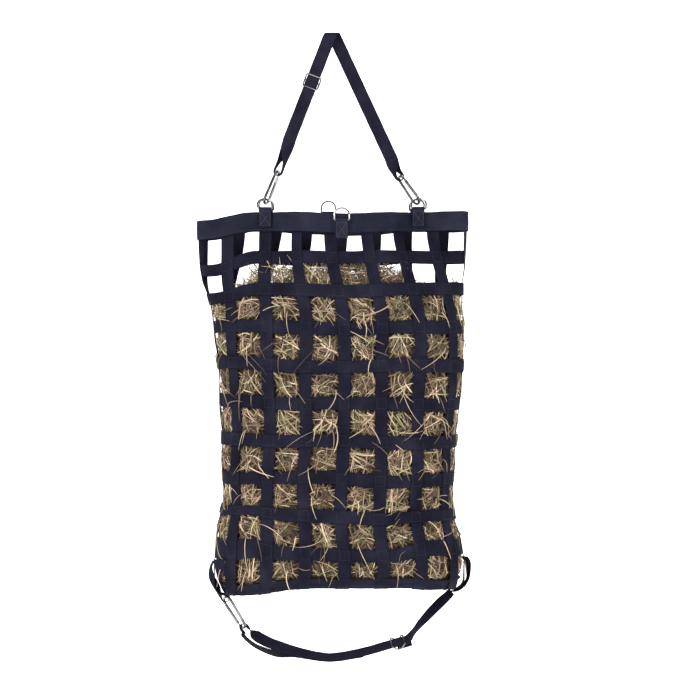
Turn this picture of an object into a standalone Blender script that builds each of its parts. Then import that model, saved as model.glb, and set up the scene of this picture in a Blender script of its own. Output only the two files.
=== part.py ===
"""Slow-feed hay net woven from flat webbing, hung by an adjustable strap.

Metres, +Z up, +Y away from the front of the net. The origin is the underside of the hanging
strap's fold, where it rests on a hook or rail, so the whole net hangs at negative Z.
"""
import math

import bmesh
import bpy
import numpy as np
from mathutils import Matrix, Vector

# ---------------------------------------------------------------- driving dimensions
WEB = 0.0254                # width of the webbing
THICK = 0.0016              # thickness of the webbing
PITCH = 0.0762              # webbing plus a two inch opening
STRAPS_AROUND = 16          # upright straps round the net
GAP = 0.0004                # air between neighbouring solids
LAYER = THICK + 2 * GAP     # step from one layer of webbing to the next

RIM_Z = -0.373              # middle of the rim band
RIM_HEIGHT = 0.038
RIM_THICK = 0.0030
TOP_ROW_Z = -0.4427         # the first row of openings is a short one
SECOND_ROW_Z = -0.5075
ROW_STEP = 0.0736
ROWS = 9
FOOT_Z = -1.040             # the straps turn under from here
FOOT_RADIUS = 0.052
BASE_HOOP_AT = (36.0, 64.0)     # degrees round the turn, upper and lower edge of the last hoop
BASE_HOOP_EXTRA = 0.0010        # it stands this much further in, to clear the faceted turn
SHAPE_FROM_Z = -0.385       # the pinched mouth opens into the round bag between these heights
SHAPE_TO_Z = -0.560
SECTION_POWER = 2.6         # squareness of the bag's plan section

# half width, half depth and sideways lean of the bag at a few heights
PROFILE = [
    (-0.370, 0.258, 0.090, 0.002),
    (-0.530, 0.249, 0.100, 0.008),
    (-0.690, 0.241, 0.111, 0.014),
    (-0.800, 0.232, 0.116, 0.015),
    (-0.900, 0.226, 0.118, 0.014),
    (-0.980, 0.236, 0.117, 0.013),
    (-1.040, 0.246, 0.112, 0.014),
]
# plan of the mouth, from the middle of the front round by the right
MOUTH = [
    (0.018, -0.082), (0.090, -0.056), (0.150, -0.0085), (0.170, -0.0058), (0.192, -0.0085),
    (0.225, -0.020), (0.260, -0.021), (0.260, 0.021), (0.225, 0.020), (0.192, 0.0085),
    (0.170, 0.0058), (0.150, 0.0085), (0.090, 0.056), (0.018, 0.082), (-0.055, 0.056),
    (-0.113, 0.0085), (-0.133, 0.0058), (-0.155, 0.0085), (-0.205, 0.018), (-0.257, 0.010),
    (-0.257, -0.010), (-0.205, -0.018), (-0.155, -0.0085), (-0.133, -0.0058), (-0.113, -0.0085),
    (-0.055, -0.056),
]
MOUTH_SHIFT = -0.30         # where the middle strap meets the mouth, in pitches
BAG_SHIFT = 0.12
END_DROOP = 0.016           # the unheld left end of the rim droops
END_DROOP_FROM = -0.150
END_DROOP_OVER = 0.100
MIDDLE_SAG = 0.005

HAY_TOP_Z = -0.500
HAY_INSET = 0.0075
HAY_AROUND = 24

RING_WIRE = 0.0018          # radius
RING_WIDTH = 0.0290         # middle of wire to middle of wire
RING_HEIGHT = 0.0240
TAB_THICK = 0.0012
TAB_WIDTH = 0.0220
TAB_REACH = 0.0220          # from the ring's bar down to the tab's sewn end
TAB_CLEAR = 0.0017          # from the curved band to a flat tab

SNAP_WIRE = 0.0029          # radius
SNAP_SMALL_R = 0.0090       # bend at the strap end, middle of wire
SNAP_LARGE_R = 0.0115       # bend at the ring end
GATE_WIRE = 0.0031
PIN_R = 0.0010

SLIDER_WIRE = 0.0017
SLIDER_WIDTH = 0.0305
SLIDER_HEIGHT = 0.0250

FOLD_RADIUS = 0.0080        # the hook or rail that the strap hangs on
LEFT_SLOPE = math.radians(19.8)
RIGHT_SLOPE = math.radians(24.9)

# contacts between webbing and metal
LEFT_EYE = Vector((-0.1072, 0.0, -0.2728))
RIGHT_EYE = Vector((0.1330, 0.0, -0.2830))
LEFT_RINGS = Vector((-0.1330, 0.0, -0.3360))
RIGHT_RINGS = Vector((0.1700, 0.0, -0.3360))
LEFT_CORNER = Vector((-0.2120, 0.0, -1.1150))
BOTTOM_EYE = Vector((-0.1745, 0.0, -1.1750))
LEFT_TWIST, RIGHT_TWIST, BOTTOM_TWIST = 70.0, -60.0, 50.0    # turn of each snap's plane

# middle line of the bottom strap (x, z, roll in degrees), from the snap to the right corner
BOTTOM_ROUTE = [
    (-0.1440, -1.1960, 50), (-0.1200, -1.2075, 48), (-0.0724, -1.2235, 45), (-0.0248, -1.2325, 30),
    (0.0069, -1.2335, 30), (0.0600, -1.2245, 34), (0.1300, -1.2046, 34), (0.1490, -1.1990, 34),
    (0.1630, -1.1820, 34), (0.1815, -1.1600, 34), (0.2100, -1.1300, 25), (0.2320, -1.1095, 5),
]
SLIDER_SET_BACK = 0.0083    # the middle bar lies this far behind the two front bars
EYE_WIDTH = 0.0090          # the webbing is gathered to this width in a snap's eye
EYE_SLACK = 0.0018
CORNER_EYE_WIDTH = 0.0042   # gathered closer round the bottom snap, which swings further in its loop
CORNER_EYE_SLACK = 0.0050
BOTTOM_END_WIDTH = 0.0140   # the strap's sewn end is gathered below the right corner loop
HANG_SLIDER_Z = -0.0960
BOTTOM_SLIDER_AT = 6        # index in BOTTOM_ROUTE
HANG_STRAP_END = 2          # the strap's own end and its return run meet at this point of the ply
BOTTOM_STRAP_END = 0

WEBBING = ("webbing", (0.030, 0.031, 0.048), 0.85, 0.0)
NICKEL = ("nickel", (0.62, 0.62, 0.64), 0.28, 1.0)
STEEL = ("spring_steel", (0.42, 0.42, 0.44), 0.35, 1.0)
HAY = ("hay", (0.36, 0.26, 0.14), 0.95, 0.0)


# ---------------------------------------------------------------- scene helpers
def clear_scene():
    for item in list(bpy.data.objects):
        bpy.data.objects.remove(item, do_unlink=True)


def new_collection(name):
    found = bpy.data.collections.new(name)
    bpy.context.scene.collection.children.link(found)
    return found


def make_material(spec):
    name, colour, roughness, metallic = spec
    material = bpy.data.materials.new(name)
    material.use_nodes = True
    shader = material.node_tree.nodes["Principled BSDF"]
    shader.inputs["Base Color"].default_value = (*colour, 1.0)
    shader.inputs["Roughness"].default_value = roughness
    shader.inputs["Metallic"].default_value = metallic
    return material


clear_scene()
PARTS = new_collection("hay_net")
CUTTERS = new_collection("cutters")
MATERIALS = {spec[0]: make_material(spec) for spec in (WEBBING, NICKEL, STEEL, HAY)}


def place(name, mesh, material, matrix=None):
    obj = bpy.data.objects.new(name, mesh)
    mesh.materials.clear()
    mesh.materials.append(MATERIALS[material[0]])
    PARTS.objects.link(obj)
    if matrix is not None:
        obj.matrix_world = matrix
    return obj


def mesh_from(name, points, faces):
    mesh = bpy.data.meshes.new(name)
    mesh.from_pydata([tuple(p) for p in points], [], faces)
    mesh.update()
    return mesh


def add_solidify(obj, thickness):
    solid = obj.modifiers.new("thickness", "SOLIDIFY")
    solid.thickness = thickness
    solid.offset = 0.0
    solid.use_even_offset = True
    return solid


def ribbon(name, lefts, rights, material=WEBBING, thickness=THICK, closed=False):
    """A strip of webbing between two edge lines, given its thickness by Solidify."""
    count = len(lefts)
    points = list(lefts) + list(rights)
    last = count if closed else count - 1
    faces = [(i, (i + 1) % count, count + (i + 1) % count, count + i) for i in range(last)]
    obj = place(name, mesh_from(name, points, faces), material)
    add_solidify(obj, thickness)
    return obj


def strap_along(name, centres, acrosses, material=WEBBING, thickness=THICK, widths=None):
    """A strap whose width lies along one given direction at each point of its middle line."""
    widths = widths or [WEB] * len(centres)
    half = [a.normalized() * w / 2 for a, w in zip(acrosses, widths)]
    lefts = [c - h for c, h in zip(centres, half)]
    rights = [c + h for c, h in zip(centres, half)]
    return ribbon(name, lefts, rights, material, thickness)


def wire_mesh(name, points, radius, closed=False):
    """A bent wire: a poly spline with a round bevel and filled ends, made into one welded mesh."""
    curve = bpy.data.curves.new(name, "CURVE")
    curve.dimensions = "3D"
    curve.bevel_depth = radius
    curve.bevel_resolution = 2
    curve.use_fill_caps = True
    spline = curve.splines.new("POLY")
    spline.points.add(len(points) - 1)
    for slot, point in zip(spline.points, points):
        slot.co = (*point, 1.0)
    spline.use_cyclic_u = closed
    holder = bpy.data.objects.new(name, curve)
    bpy.context.scene.collection.objects.link(holder)
    graph = bpy.context.evaluated_depsgraph_get()
    mesh = bpy.data.meshes.new_from_object(holder.evaluated_get(graph))
    bpy.data.objects.remove(holder, do_unlink=True)
    bpy.data.curves.remove(curve)
    work = bmesh.new()
    work.from_mesh(mesh)
    bmesh.ops.remove_doubles(work, verts=work.verts, dist=0.00001)
    bmesh.ops.recalc_face_normals(work, faces=work.faces)
    work.to_mesh(mesh)
    work.free()
    mesh.shade_smooth()
    mesh.set_sharp_from_angle(angle=math.radians(50))
    return mesh


def turned(name, radius, length, centre, axis, sides=16):
    """A plain cylinder about an axis, as a mesh in the piece's own frame."""
    work = bmesh.new()
    bmesh.ops.create_cone(work, cap_ends=True, segments=sides, radius1=radius, radius2=radius, depth=length)
    turn = Vector((0, 0, 1)).rotation_difference(axis).to_matrix().to_4x4()
    bmesh.ops.transform(work, matrix=Matrix.Translation(centre) @ turn, verts=work.verts)
    mesh = bpy.data.meshes.new(name)
    work.to_mesh(mesh)
    work.free()
    return mesh


def block(name, size, centre, turn=Matrix.Identity(4)):
    work = bmesh.new()
    bmesh.ops.create_cube(work, size=1.0)
    shape = Matrix.Translation(centre) @ turn @ Matrix.Diagonal((*size, 1.0))
    bmesh.ops.transform(work, matrix=shape, verts=work.verts)
    mesh = bpy.data.meshes.new(name)
    work.to_mesh(mesh)
    work.free()
    return mesh


def combine(base, operations):
    """Exact Booleans of other meshes on a base mesh; gives the finished mesh."""
    host = bpy.data.objects.new(base.name + "_work", base)
    CUTTERS.objects.link(host)
    tools = []
    for mode, mesh in operations:
        tool = bpy.data.objects.new(mesh.name + "_tool", mesh)
        CUTTERS.objects.link(tool)
        tool.hide_render = True
        tool.display_type = "WIRE"
        step = host.modifiers.new(mode.lower(), "BOOLEAN")
        step.operation = mode
        step.object = tool
        tools.append(tool)
    graph = bpy.context.evaluated_depsgraph_get()
    mesh = bpy.data.meshes.new_from_object(host.evaluated_get(graph))
    for item in [host, *tools]:
        bpy.data.objects.remove(item, do_unlink=True)
    mesh.name = base.name + "_done"
    mesh.shade_smooth()
    mesh.set_sharp_from_angle(angle=math.radians(40))
    return mesh


# ---------------------------------------------------------------- the bag's surface
class Loop:
    """A closed plan curve that is read by the fraction of its length."""

    def __init__(self, points):
        self.points = np.array(points, dtype=float)
        nexts = np.roll(self.points, -1, axis=0)
        steps = np.hypot(*(nexts - self.points).T)
        self.run = np.concatenate([[0.0], np.cumsum(steps)])

    def at(self, fraction):
        place_on = (fraction % 1.0) * self.run[-1]
        i = min(int(np.searchsorted(self.run, place_on, side="right")) - 1, len(self.points) - 1)
        share = (place_on - self.run[i]) / (self.run[i + 1] - self.run[i])
        start, end = self.points[i], self.points[(i + 1) % len(self.points)]
        return start * (1 - share) + end * share


def smooth_closed(knots, per_span=12):
    """Catmull-Rom curve through the knots."""
    found = []
    count = len(knots)
    for i in range(count):
        p0, p1, p2, p3 = (np.array(knots[(i + j) % count]) for j in (-1, 0, 1, 2))
        for step in range(per_span):
            t = step / per_span
            found.append(0.5 * (2 * p1 + (p2 - p0) * t + (2 * p0 - 5 * p1 + 4 * p2 - p3) * t * t
                                + (3 * p1 - p0 - 3 * p2 + p3) * t ** 3))
    return found


def profile_at(z):
    heights = [-row[0] for row in PROFILE]
    return [float(np.interp(-z, heights, [row[i] for row in PROFILE])) for i in (1, 2, 3)]


def section(z, samples=144):
    half_width, half_depth, lean = profile_at(z)
    points = []
    for i in range(samples):
        angle = 2 * math.pi * i / samples - math.pi / 2
        c, s = math.cos(angle), math.sin(angle)
        x = half_width * math.copysign(abs(c) ** (2 / SECTION_POWER), c)
        y = half_depth * math.copysign(abs(s) ** (2 / SECTION_POWER), s)
        points.append((lean + x, y))
    return Loop(points)


MOUTH_LOOP = Loop(smooth_closed(MOUTH))
SECTIONS = {}


def smoothstep(value):
    t = min(max(value, 0.0), 1.0)
    return t * t * (3 - 2 * t)


def roundness(z):
    """0 in the pinched mouth, 1 in the filled bag."""
    return smoothstep((SHAPE_FROM_Z - z) / (SHAPE_FROM_Z - SHAPE_TO_Z))


def plan_point(s, z):
    """Plan position at s pitches round from the middle front strap, at height z."""
    key = round(z, 5)
    if key not in SECTIONS:
        SECTIONS[key] = section(z)
    mouth = MOUTH_LOOP.at((s + MOUTH_SHIFT) / STRAPS_AROUND)
    bag = SECTIONS[key].at((s + BAG_SHIFT) / STRAPS_AROUND)
    share = roundness(z)
    return mouth * (1 - share) + bag * share


def droop(x, z):
    left = END_DROOP * smoothstep((END_DROOP_FROM - x) / END_DROOP_OVER)
    middle = MIDDLE_SAG * smoothstep(1 - abs(x - 0.018) / 0.150)
    return (left + middle) * (1 - roundness(z))


def bag_point(s, z, offset=0.0):
    """A point on the bag at s pitches and height z, moved outward by offset."""
    here = plan_point(s, z)
    ahead, behind = plan_point(s + 0.08, z), plan_point(s - 0.08, z)
    tangent = ahead - behind
    normal = np.array([tangent[1], -tangent[0]]) / np.hypot(*tangent)
    x, y = here + normal * offset
    return Vector((x, y, z - droop(here[0], z)))


HALF_WEB_S = WEB / 2 / PITCH
# the points round every hoop: both edges of each strap and the middle of each opening
ROUND_S = [k + d for k in range(STRAPS_AROUND) for d in (-HALF_WEB_S, HALF_WEB_S, 0.5)]
ROW_ZS = [TOP_ROW_Z] + [SECOND_ROW_Z - ROW_STEP * i for i in range(ROWS - 1)]


# ---------------------------------------------------------------- webbing of the net
def make_rim():
    top, bottom = RIM_Z + RIM_HEIGHT / 2, RIM_Z - RIM_HEIGHT / 2
    offset = LAYER + (RIM_THICK - THICK) / 2
    uppers = [bag_point(s, top, offset) for s in ROUND_S]
    lowers = [bag_point(s, bottom, offset) for s in ROUND_S]
    ribbon("rim_band", uppers, lowers, thickness=RIM_THICK, closed=True)


def make_hoops():
    for row, z in enumerate(ROW_ZS, start=1):
        uppers = [bag_point(s, z + WEB / 2, -LAYER) for s in ROUND_S]
        lowers = [bag_point(s, z - WEB / 2, -LAYER) for s in ROUND_S]
        ribbon(f"hoop_{row}", uppers, lowers, closed=True)


def make_base_hoop():
    """The last hoop, round the edge of the base where the upright straps turn under."""
    level = LAYER + BASE_HOOP_EXTRA
    radius = FOOT_RADIUS - level
    edges = []
    for degrees in BASE_HOOP_AT:
        angle = math.radians(degrees)
        inset, fall = level + radius * (1 - math.cos(angle)), radius * math.sin(angle)
        edges.append([bag_point(s, FOOT_Z, -inset) - Vector((0, 0, fall)) for s in ROUND_S])
    ribbon(f"hoop_{ROWS + 1}", *edges, closed=True)


def side_heights():
    """Heights at which the upright straps bend: the edges of the rim and of each hoop."""
    heights = [RIM_Z, RIM_Z - RIM_HEIGHT / 2]
    for z in ROW_ZS:
        heights += [z + WEB / 2, z - WEB / 2]
    return heights


def edge_under(s_front, s_back, level):
    """One edge of a strap from the front rim, under the bag, to the back rim."""
    front = [bag_point(s_front, z, level) for z in side_heights()]
    back = [bag_point(s_back, z, level) for z in side_heights()]
    start, end = bag_point(s_front, FOOT_Z, level), bag_point(s_back, FOOT_Z, level)
    run = (end - start).normalized()
    radius = FOOT_RADIUS + level
    under = []
    for i in range(5):
        angle = math.radians(90 * i / 4)
        inset, fall = radius * (1 - math.cos(angle)), radius * math.sin(angle)
        under.append((inset, fall))
    first = [start + run * inset - Vector((0, 0, fall)) for inset, fall in under]
    second = [end - run * inset - Vector((0, 0, fall)) for inset, fall in under]
    return front + first + second[::-1] + back[::-1]


def make_long_straps():
    names = ["a", "b", "c", "d", "e", "f", "g"]
    for k, letter in zip(range(-3, 4), names):
        back = STRAPS_AROUND / 2 - k
        lefts = edge_under(k - HALF_WEB_S, back + HALF_WEB_S, 0.0)
        rights = edge_under(k + HALF_WEB_S, back - HALF_WEB_S, 0.0)
        ribbon(f"long_strap_{letter}", lefts, rights)


SIDE_LEVEL = 0.0012         # the side strap stands this far off, to clear the mouth's tight folds


def edge_side(s_left, s_right):
    """One edge of the strap down the left side, under the others and up the right side."""
    heights = [RIM_Z - RIM_HEIGHT / 2 - 2 * GAP] + side_heights()[2:]
    left = [bag_point(s_left, z, SIDE_LEVEL) for z in heights]
    right = [bag_point(s_right, z, SIDE_LEVEL) for z in heights]
    start, end = bag_point(s_left, FOOT_Z, SIDE_LEVEL), bag_point(s_right, FOOT_Z, SIDE_LEVEL)
    fall, bend = FOOT_RADIUS + LAYER, 0.022
    bends = []
    for i in range(6):
        angle = math.radians(90 * i / 5)
        bends.append((bend * (1 - math.cos(angle)), fall - bend + bend * math.sin(angle)))
    first = [start] + [start + Vector((x, 0, -z)) for x, z in bends]
    second = [end] + [end + Vector((-x, 0, -z)) for x, z in bends]
    return left + first + second[::-1] + right[::-1]


def make_side_strap():
    quarter = STRAPS_AROUND / 4
    lefts = edge_side(-quarter - HALF_WEB_S, quarter + HALF_WEB_S)
    rights = edge_side(-quarter + HALF_WEB_S, quarter - HALF_WEB_S)
    ribbon("side_strap", lefts, rights)


# ---------------------------------------------------------------- hay
def make_hay():
    """The packed hay: a loft of the bag's own section, domed above and rounded below."""
    levels = []
    for drop, inset in ((0.0, 0.085), (0.006, 0.060), (0.020, 0.032), (0.045, 0.012), (0.080, 0.0)):
        levels.append((HAY_TOP_Z - drop, inset + HAY_INSET))
    z = HAY_TOP_Z - 0.14
    while z > FOOT_Z + 0.03:
        levels.append((z, HAY_INSET))
        z -= 0.075
    reach = FOOT_RADIUS - HAY_INSET + THICK
    for angle in (0, 30, 60, 90):
        turn = math.radians(angle)
        levels.append((FOOT_Z - reach * math.sin(turn), HAY_INSET + reach * (1 - math.cos(turn))))
    points = []
    for z, inset in levels:
        for i in range(HAY_AROUND):
            s = STRAPS_AROUND * (i + 0.5) / HAY_AROUND
            points.append(bag_point(s, max(z, FOOT_Z), -inset))
            points[-1].z = z
    faces = []
    for ring in range(len(levels) - 1):
        for i in range(HAY_AROUND):
            j = (i + 1) % HAY_AROUND
            a, b = ring * HAY_AROUND, (ring + 1) * HAY_AROUND
            faces.append((a + i, b + i, b + j, a + j))
    faces.append(tuple(range(HAY_AROUND)))
    last = (len(levels) - 1) * HAY_AROUND
    faces.append(tuple(last + i for i in reversed(range(HAY_AROUND))))
    place("hay_fill", mesh_from("hay_fill", points, faces), HAY)


# ---------------------------------------------------------------- rings and their tabs
def ring_points():
    """A D-ring in its own XZ plane, straight bar along X through the origin."""
    half = RING_WIDTH / 2
    points = [Vector((x, 0, 0)) for x in (-half + 0.0016, 0, half - 0.0016)]
    arc_z = RING_HEIGHT - half * 0.9
    points.append(Vector((half, 0, 0.0018)))
    for i in range(11):
        angle = math.pi * i / 10
        points.append(Vector((half * math.cos(angle), 0, arc_z + half * 0.9 * math.sin(angle))))
    points.append(Vector((-half, 0, 0.0018)))
    return points


RING_MESH = wire_mesh("d_ring", ring_points(), RING_WIRE, closed=True)
TAB_INNER_R = RING_WIRE + GAP + TAB_THICK / 2


def tab_mesh(reach, width=TAB_WIDTH):
    """Webbing folded over the ring's bar; its two plies run down by reach below the bar."""
    path = [Vector((0, TAB_INNER_R, -reach)), Vector((0, TAB_INNER_R, -reach / 2))]
    for i in range(9):
        angle = math.pi * i / 8
        path.append(Vector((0, TAB_INNER_R * math.cos(angle), TAB_INNER_R * math.sin(angle))))
    path += [Vector((0, -TAB_INNER_R, -reach / 2)), Vector((0, -TAB_INNER_R, -reach))]
    side = Vector((width / 2, 0, 0))
    points = [p - side for p in path] + [p + side for p in path]
    count = len(path)
    faces = [(i, i + 1, count + i + 1, count + i) for i in range(count - 1)]
    return mesh_from("ring_tab", points, faces)


def facing(s, z, offset):
    """Frame on the rim: X along the band, Y into the bag, Z up, origin offset outward."""
    origin = bag_point(s, z, offset)
    side = bag_point(s + 0.1, z) - bag_point(s - 0.1, z)
    side.z = 0.0
    side.normalize()
    inward = Vector((0, 0, 1)).cross(side)
    turn = Matrix((side, inward, Vector((0, 0, 1)))).transposed().to_4x4()
    return Matrix.Translation(origin) @ turn


def s_at(x, z, front):
    """Pitches round to the strap position at plan x, on the front or the back."""
    lo, hi = (-4.0, 4.0) if front else (12.0, 4.0)
    for _ in range(40):
        middle = (lo + hi) / 2
        if plan_point(middle, z)[0] < x:
            lo = middle
        else:
            hi = middle
    return (lo + hi) / 2


RING_APEX_Y = 0.0029        # a clipped ring leans in until its top is this far from the middle
RING_ON_WIRE = 0.0078       # middle of the ring's wire above the middle of the snap's wire
# name, plan x, front, height of the bar, lean into the bag in degrees
RINGS_FREE = [("middle_front", 0.0190, True, -0.3740, 9.0), ("middle_back", -0.0060, False, -0.3500, 4.0)]


def bar_frame(x, front):
    """Frame of a ring's bar at the rim's middle height, outside the band and clear of it."""
    band = LAYER + RIM_THICK - THICK / 2
    s = s_at(x, RIM_Z, front)
    frame = facing(s, RIM_Z, 0.0)
    half_s = TAB_WIDTH / 2 / PITCH
    across = [s + half_s * i / 4 for i in range(-5, 6)]
    proud = max(-(frame.inverted() @ bag_point(t, RIM_Z, band)).y for t in across)
    return facing(s, RIM_Z, proud + TAB_CLEAR + TAB_INNER_R + TAB_THICK / 2)


def put_ring(name, frame, bar_z, lean_in):
    frame.translation.z = bar_z
    tab = place(f"{name}_tab", tab_mesh(TAB_REACH), WEBBING, frame)
    add_solidify(tab, TAB_THICK)
    lean = Matrix.Rotation(-lean_in, 4, "X")
    place(f"{name}_ring", RING_MESH, NICKEL, frame @ lean)


def bend_point(eye, far, twist, y):
    """Where the lower bend of a snap crosses the given y, near its lowest point."""
    frame = snap_frame(eye, far, twist)
    centre = Vector((0, 0, -(far - eye).length + SNAP_LARGE_R))
    points = []
    for i in range(-40, 41):
        angle = math.radians(-90 + i * 1.5)
        points.append(frame @ (centre + SNAP_LARGE_R * Vector((math.cos(angle), 0, math.sin(angle)))))
    return min(points, key=lambda point: abs(point.y - y))


def make_rings():
    for side, eye, far, twist in (("left", LEFT_EYE, LEFT_RINGS, LEFT_TWIST),
                                  ("right", RIGHT_EYE, RIGHT_RINGS, RIGHT_TWIST)):
        for face, front in (("front", True), ("back", False)):
            on_wire = bend_point(eye, far, twist, -RING_APEX_Y if front else RING_APEX_Y)
            frame = bar_frame(on_wire.x, front)
            lean_in = math.asin((abs(frame.translation.y) - RING_APEX_Y) / RING_HEIGHT)
            bar_z = on_wire.z + RING_ON_WIRE - RING_HEIGHT * math.cos(lean_in)
            put_ring(f"{side}_{face}", frame, bar_z, lean_in)
    for name, x, front, bar_z, lean_in in RINGS_FREE:
        put_ring(name, bar_frame(x, front), bar_z, math.radians(lean_in))


# ---------------------------------------------------------------- snap hooks
def snap_outline(length):
    """Middle line of a snap hook in its XZ plane, small bend at the origin, large bend at -length.

    Gives the bent body from the gate's hinge to its nose, the hinge point and the nose point.
    """
    small, large = SNAP_SMALL_R, SNAP_LARGE_R
    top, bottom = Vector((0, 0, -small)), Vector((0, 0, -length + large))
    slope = math.asin((large - small) / (top.z - bottom.z))
    hinge = top + Vector((small * math.cos(slope), 0, small * math.sin(slope)))
    nose = bottom + Vector((large * math.cos(slope), 0, large * math.sin(slope)))
    points = []
    for i in range(9):
        angle = slope + (math.pi - 2 * slope) * i / 8
        points.append(top + small * Vector((math.cos(angle), 0, math.sin(angle))))
    for i in range(11):
        angle = math.pi - slope + (math.pi + 2 * slope) * i / 10
        points.append(bottom + large * Vector((math.cos(angle), 0, math.sin(angle))))
    return points, hinge, nose


def build_snap(length):
    """Body, gate, pin and spring meshes of one snap hook, and the gate's hinge point."""
    points, hinge, nose = snap_outline(length)
    down = (nose - hinge).normalized()
    across = Vector((0, 1, 0))
    pivot = hinge + down * 0.0075
    tongue_turn = Vector((0, 0, -1)).rotation_difference(down).to_matrix().to_4x4()
    tongue = block("tongue", (0.0036, 0.0020, 0.0100), hinge + down * 0.0045, tongue_turn)
    body = combine(wire_mesh("snap_body", points, SNAP_WIRE), [
        ("UNION", tongue),
        ("DIFFERENCE", turned("pin_hole", PIN_R + 0.0001, 0.012, pivot, across)),
    ])
    gate_start, gate_end = hinge + down * 0.0038, nose - down * 0.0006
    middle, reach = (gate_start + gate_end) / 2, (gate_end - gate_start).length
    rod = turned("gate", GATE_WIRE, reach, middle, down, sides=12)
    slot_size = (0.0080, 0.0028, 0.0102)
    slot = block("slot", slot_size, gate_start + down * 0.0050, tongue_turn)
    bore = turned("bore", 0.0014, 0.0160, gate_start + down * 0.0170, down, sides=10)
    gate = combine(rod, [
        ("DIFFERENCE", slot),
        ("DIFFERENCE", turned("gate_hole", PIN_R + 0.0001, 0.012, pivot, across)),
        ("DIFFERENCE", bore),
    ])
    pin = turned("pin", PIN_R, 2 * GATE_WIRE - 0.0004, pivot, across, sides=12)
    spring = gate_spring(hinge + down * 0.0102, down)
    return body, gate, pin, spring, pivot


def gate_spring(start, down):
    """The small coil inside the gate that pushes on the tongue."""
    side = down.cross(Vector((0, 1, 0))).normalized()
    front = down.cross(side)
    points = []
    turns, per_turn, rise = 3, 7, 0.0035
    for i in range(turns * per_turn + 1):
        angle = 2 * math.pi * i / per_turn
        radial = side * math.cos(angle) + front * math.sin(angle)
        points.append(start + radial * 0.0008 + down * (rise * i / per_turn))
    return wire_mesh("gate_spring", points, 0.00022)


def snap_frame(eye, far, twist):
    """Frame whose -Z runs from the eye to the far contact, turned about that line by twist degrees."""
    down = (far - eye).normalized()
    up = -down
    side = Vector((0, 1, 0)).cross(up).normalized()
    turn = Matrix((side, up.cross(side), up)).transposed().to_4x4()
    return Matrix.Translation(eye) @ turn @ Matrix.Rotation(math.radians(twist), 4, "Z")


def make_snap(name, eye, far, twist):
    length = (far - eye).length
    body, gate, pin, spring, pivot = build_snap(length)
    frame = snap_frame(eye, far, twist)
    place(f"{name}_snap_body", body, NICKEL, frame)
    moved = Matrix.Translation(-pivot)
    for part in (gate, pin, spring):
        part.transform(moved)
    at_pivot = frame @ Matrix.Translation(pivot)
    place(f"{name}_snap_gate", gate, NICKEL, at_pivot)
    place(f"{name}_snap_pin", pin, STEEL, at_pivot)
    place(f"{name}_snap_spring", spring, STEEL, at_pivot)


# ---------------------------------------------------------------- sliders
def slider_mesh():
    """Tri-glide in its XZ plane: two front bars, curved sides, and a middle bar set back."""
    half_w, half_h = SLIDER_WIDTH / 2, SLIDER_HEIGHT / 2
    profile = [(-half_h, 0.0), (-half_h + 0.0030, 0.0012)]
    profile += [(z * half_h, SLIDER_SET_BACK * (1 - z * z)) for z in (-0.45, 0.0, 0.45)]
    profile += [(half_h - 0.0030, 0.0012), (half_h, 0.0)]
    right = [Vector((half_w, y, z)) for z, y in profile[1:-1]]
    left = [Vector((-half_w, y, z)) for z, y in profile[1:-1]][::-1]
    corner = half_w - 0.0025
    upper = [Vector((corner, 0, half_h)), Vector((-corner, 0, half_h))]
    lower = [Vector((-corner, 0, -half_h)), Vector((corner, 0, -half_h))]
    frame = wire_mesh("slider_frame", right + upper + left + lower, SLIDER_WIRE, closed=True)
    centre = Vector((0, SLIDER_SET_BACK, 0))
    bar = turned("middle_bar", SLIDER_WIRE * 0.95, SLIDER_WIDTH, centre, Vector((1, 0, 0)), 12)
    return combine(frame, [("UNION", bar)])


def slider_frame_at(point, up, across, front):
    """Frame of a slider on a strap: X across it, Z along it, Y away from the front."""
    side = across.normalized()
    turn = Matrix((side, -front.normalized(), up.normalized())).transposed().to_4x4()
    stand_off = THICK / 2 + GAP + SLIDER_WIRE
    return Matrix.Translation(point + front.normalized() * stand_off) @ turn


def slider_loop_mesh():
    """The sewn end of the return run, folded round the middle bar with a short tail behind."""
    radius = SLIDER_WIRE * 0.95 + GAP + THICK / 2
    path = [Vector((0, -radius, -0.0060))]
    for i in range(9):
        angle = math.pi * i / 8
        path.append(Vector((0, -radius * math.cos(angle), radius * math.sin(angle))))
    path += [Vector((0, radius * 0.95, -0.0100)), Vector((0, radius * 0.8, -0.0260))]
    path = [p + Vector((0, SLIDER_SET_BACK, 0)) for p in path]
    side = Vector((WEB / 2, 0, 0))
    count = len(path)
    points = [p - side for p in path] + [p + side for p in path]
    faces = [(i, i + 1, count + i + 1, count + i) for i in range(count - 1)]
    return mesh_from("slider_loop", points, faces)


def make_slider(prefix, frame):
    place(f"{prefix}_slider", slider_mesh(), NICKEL, frame)
    loop = place(f"{prefix}_slider_loop", slider_loop_mesh(), WEBBING, frame)
    add_solidify(loop, THICK)


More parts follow.
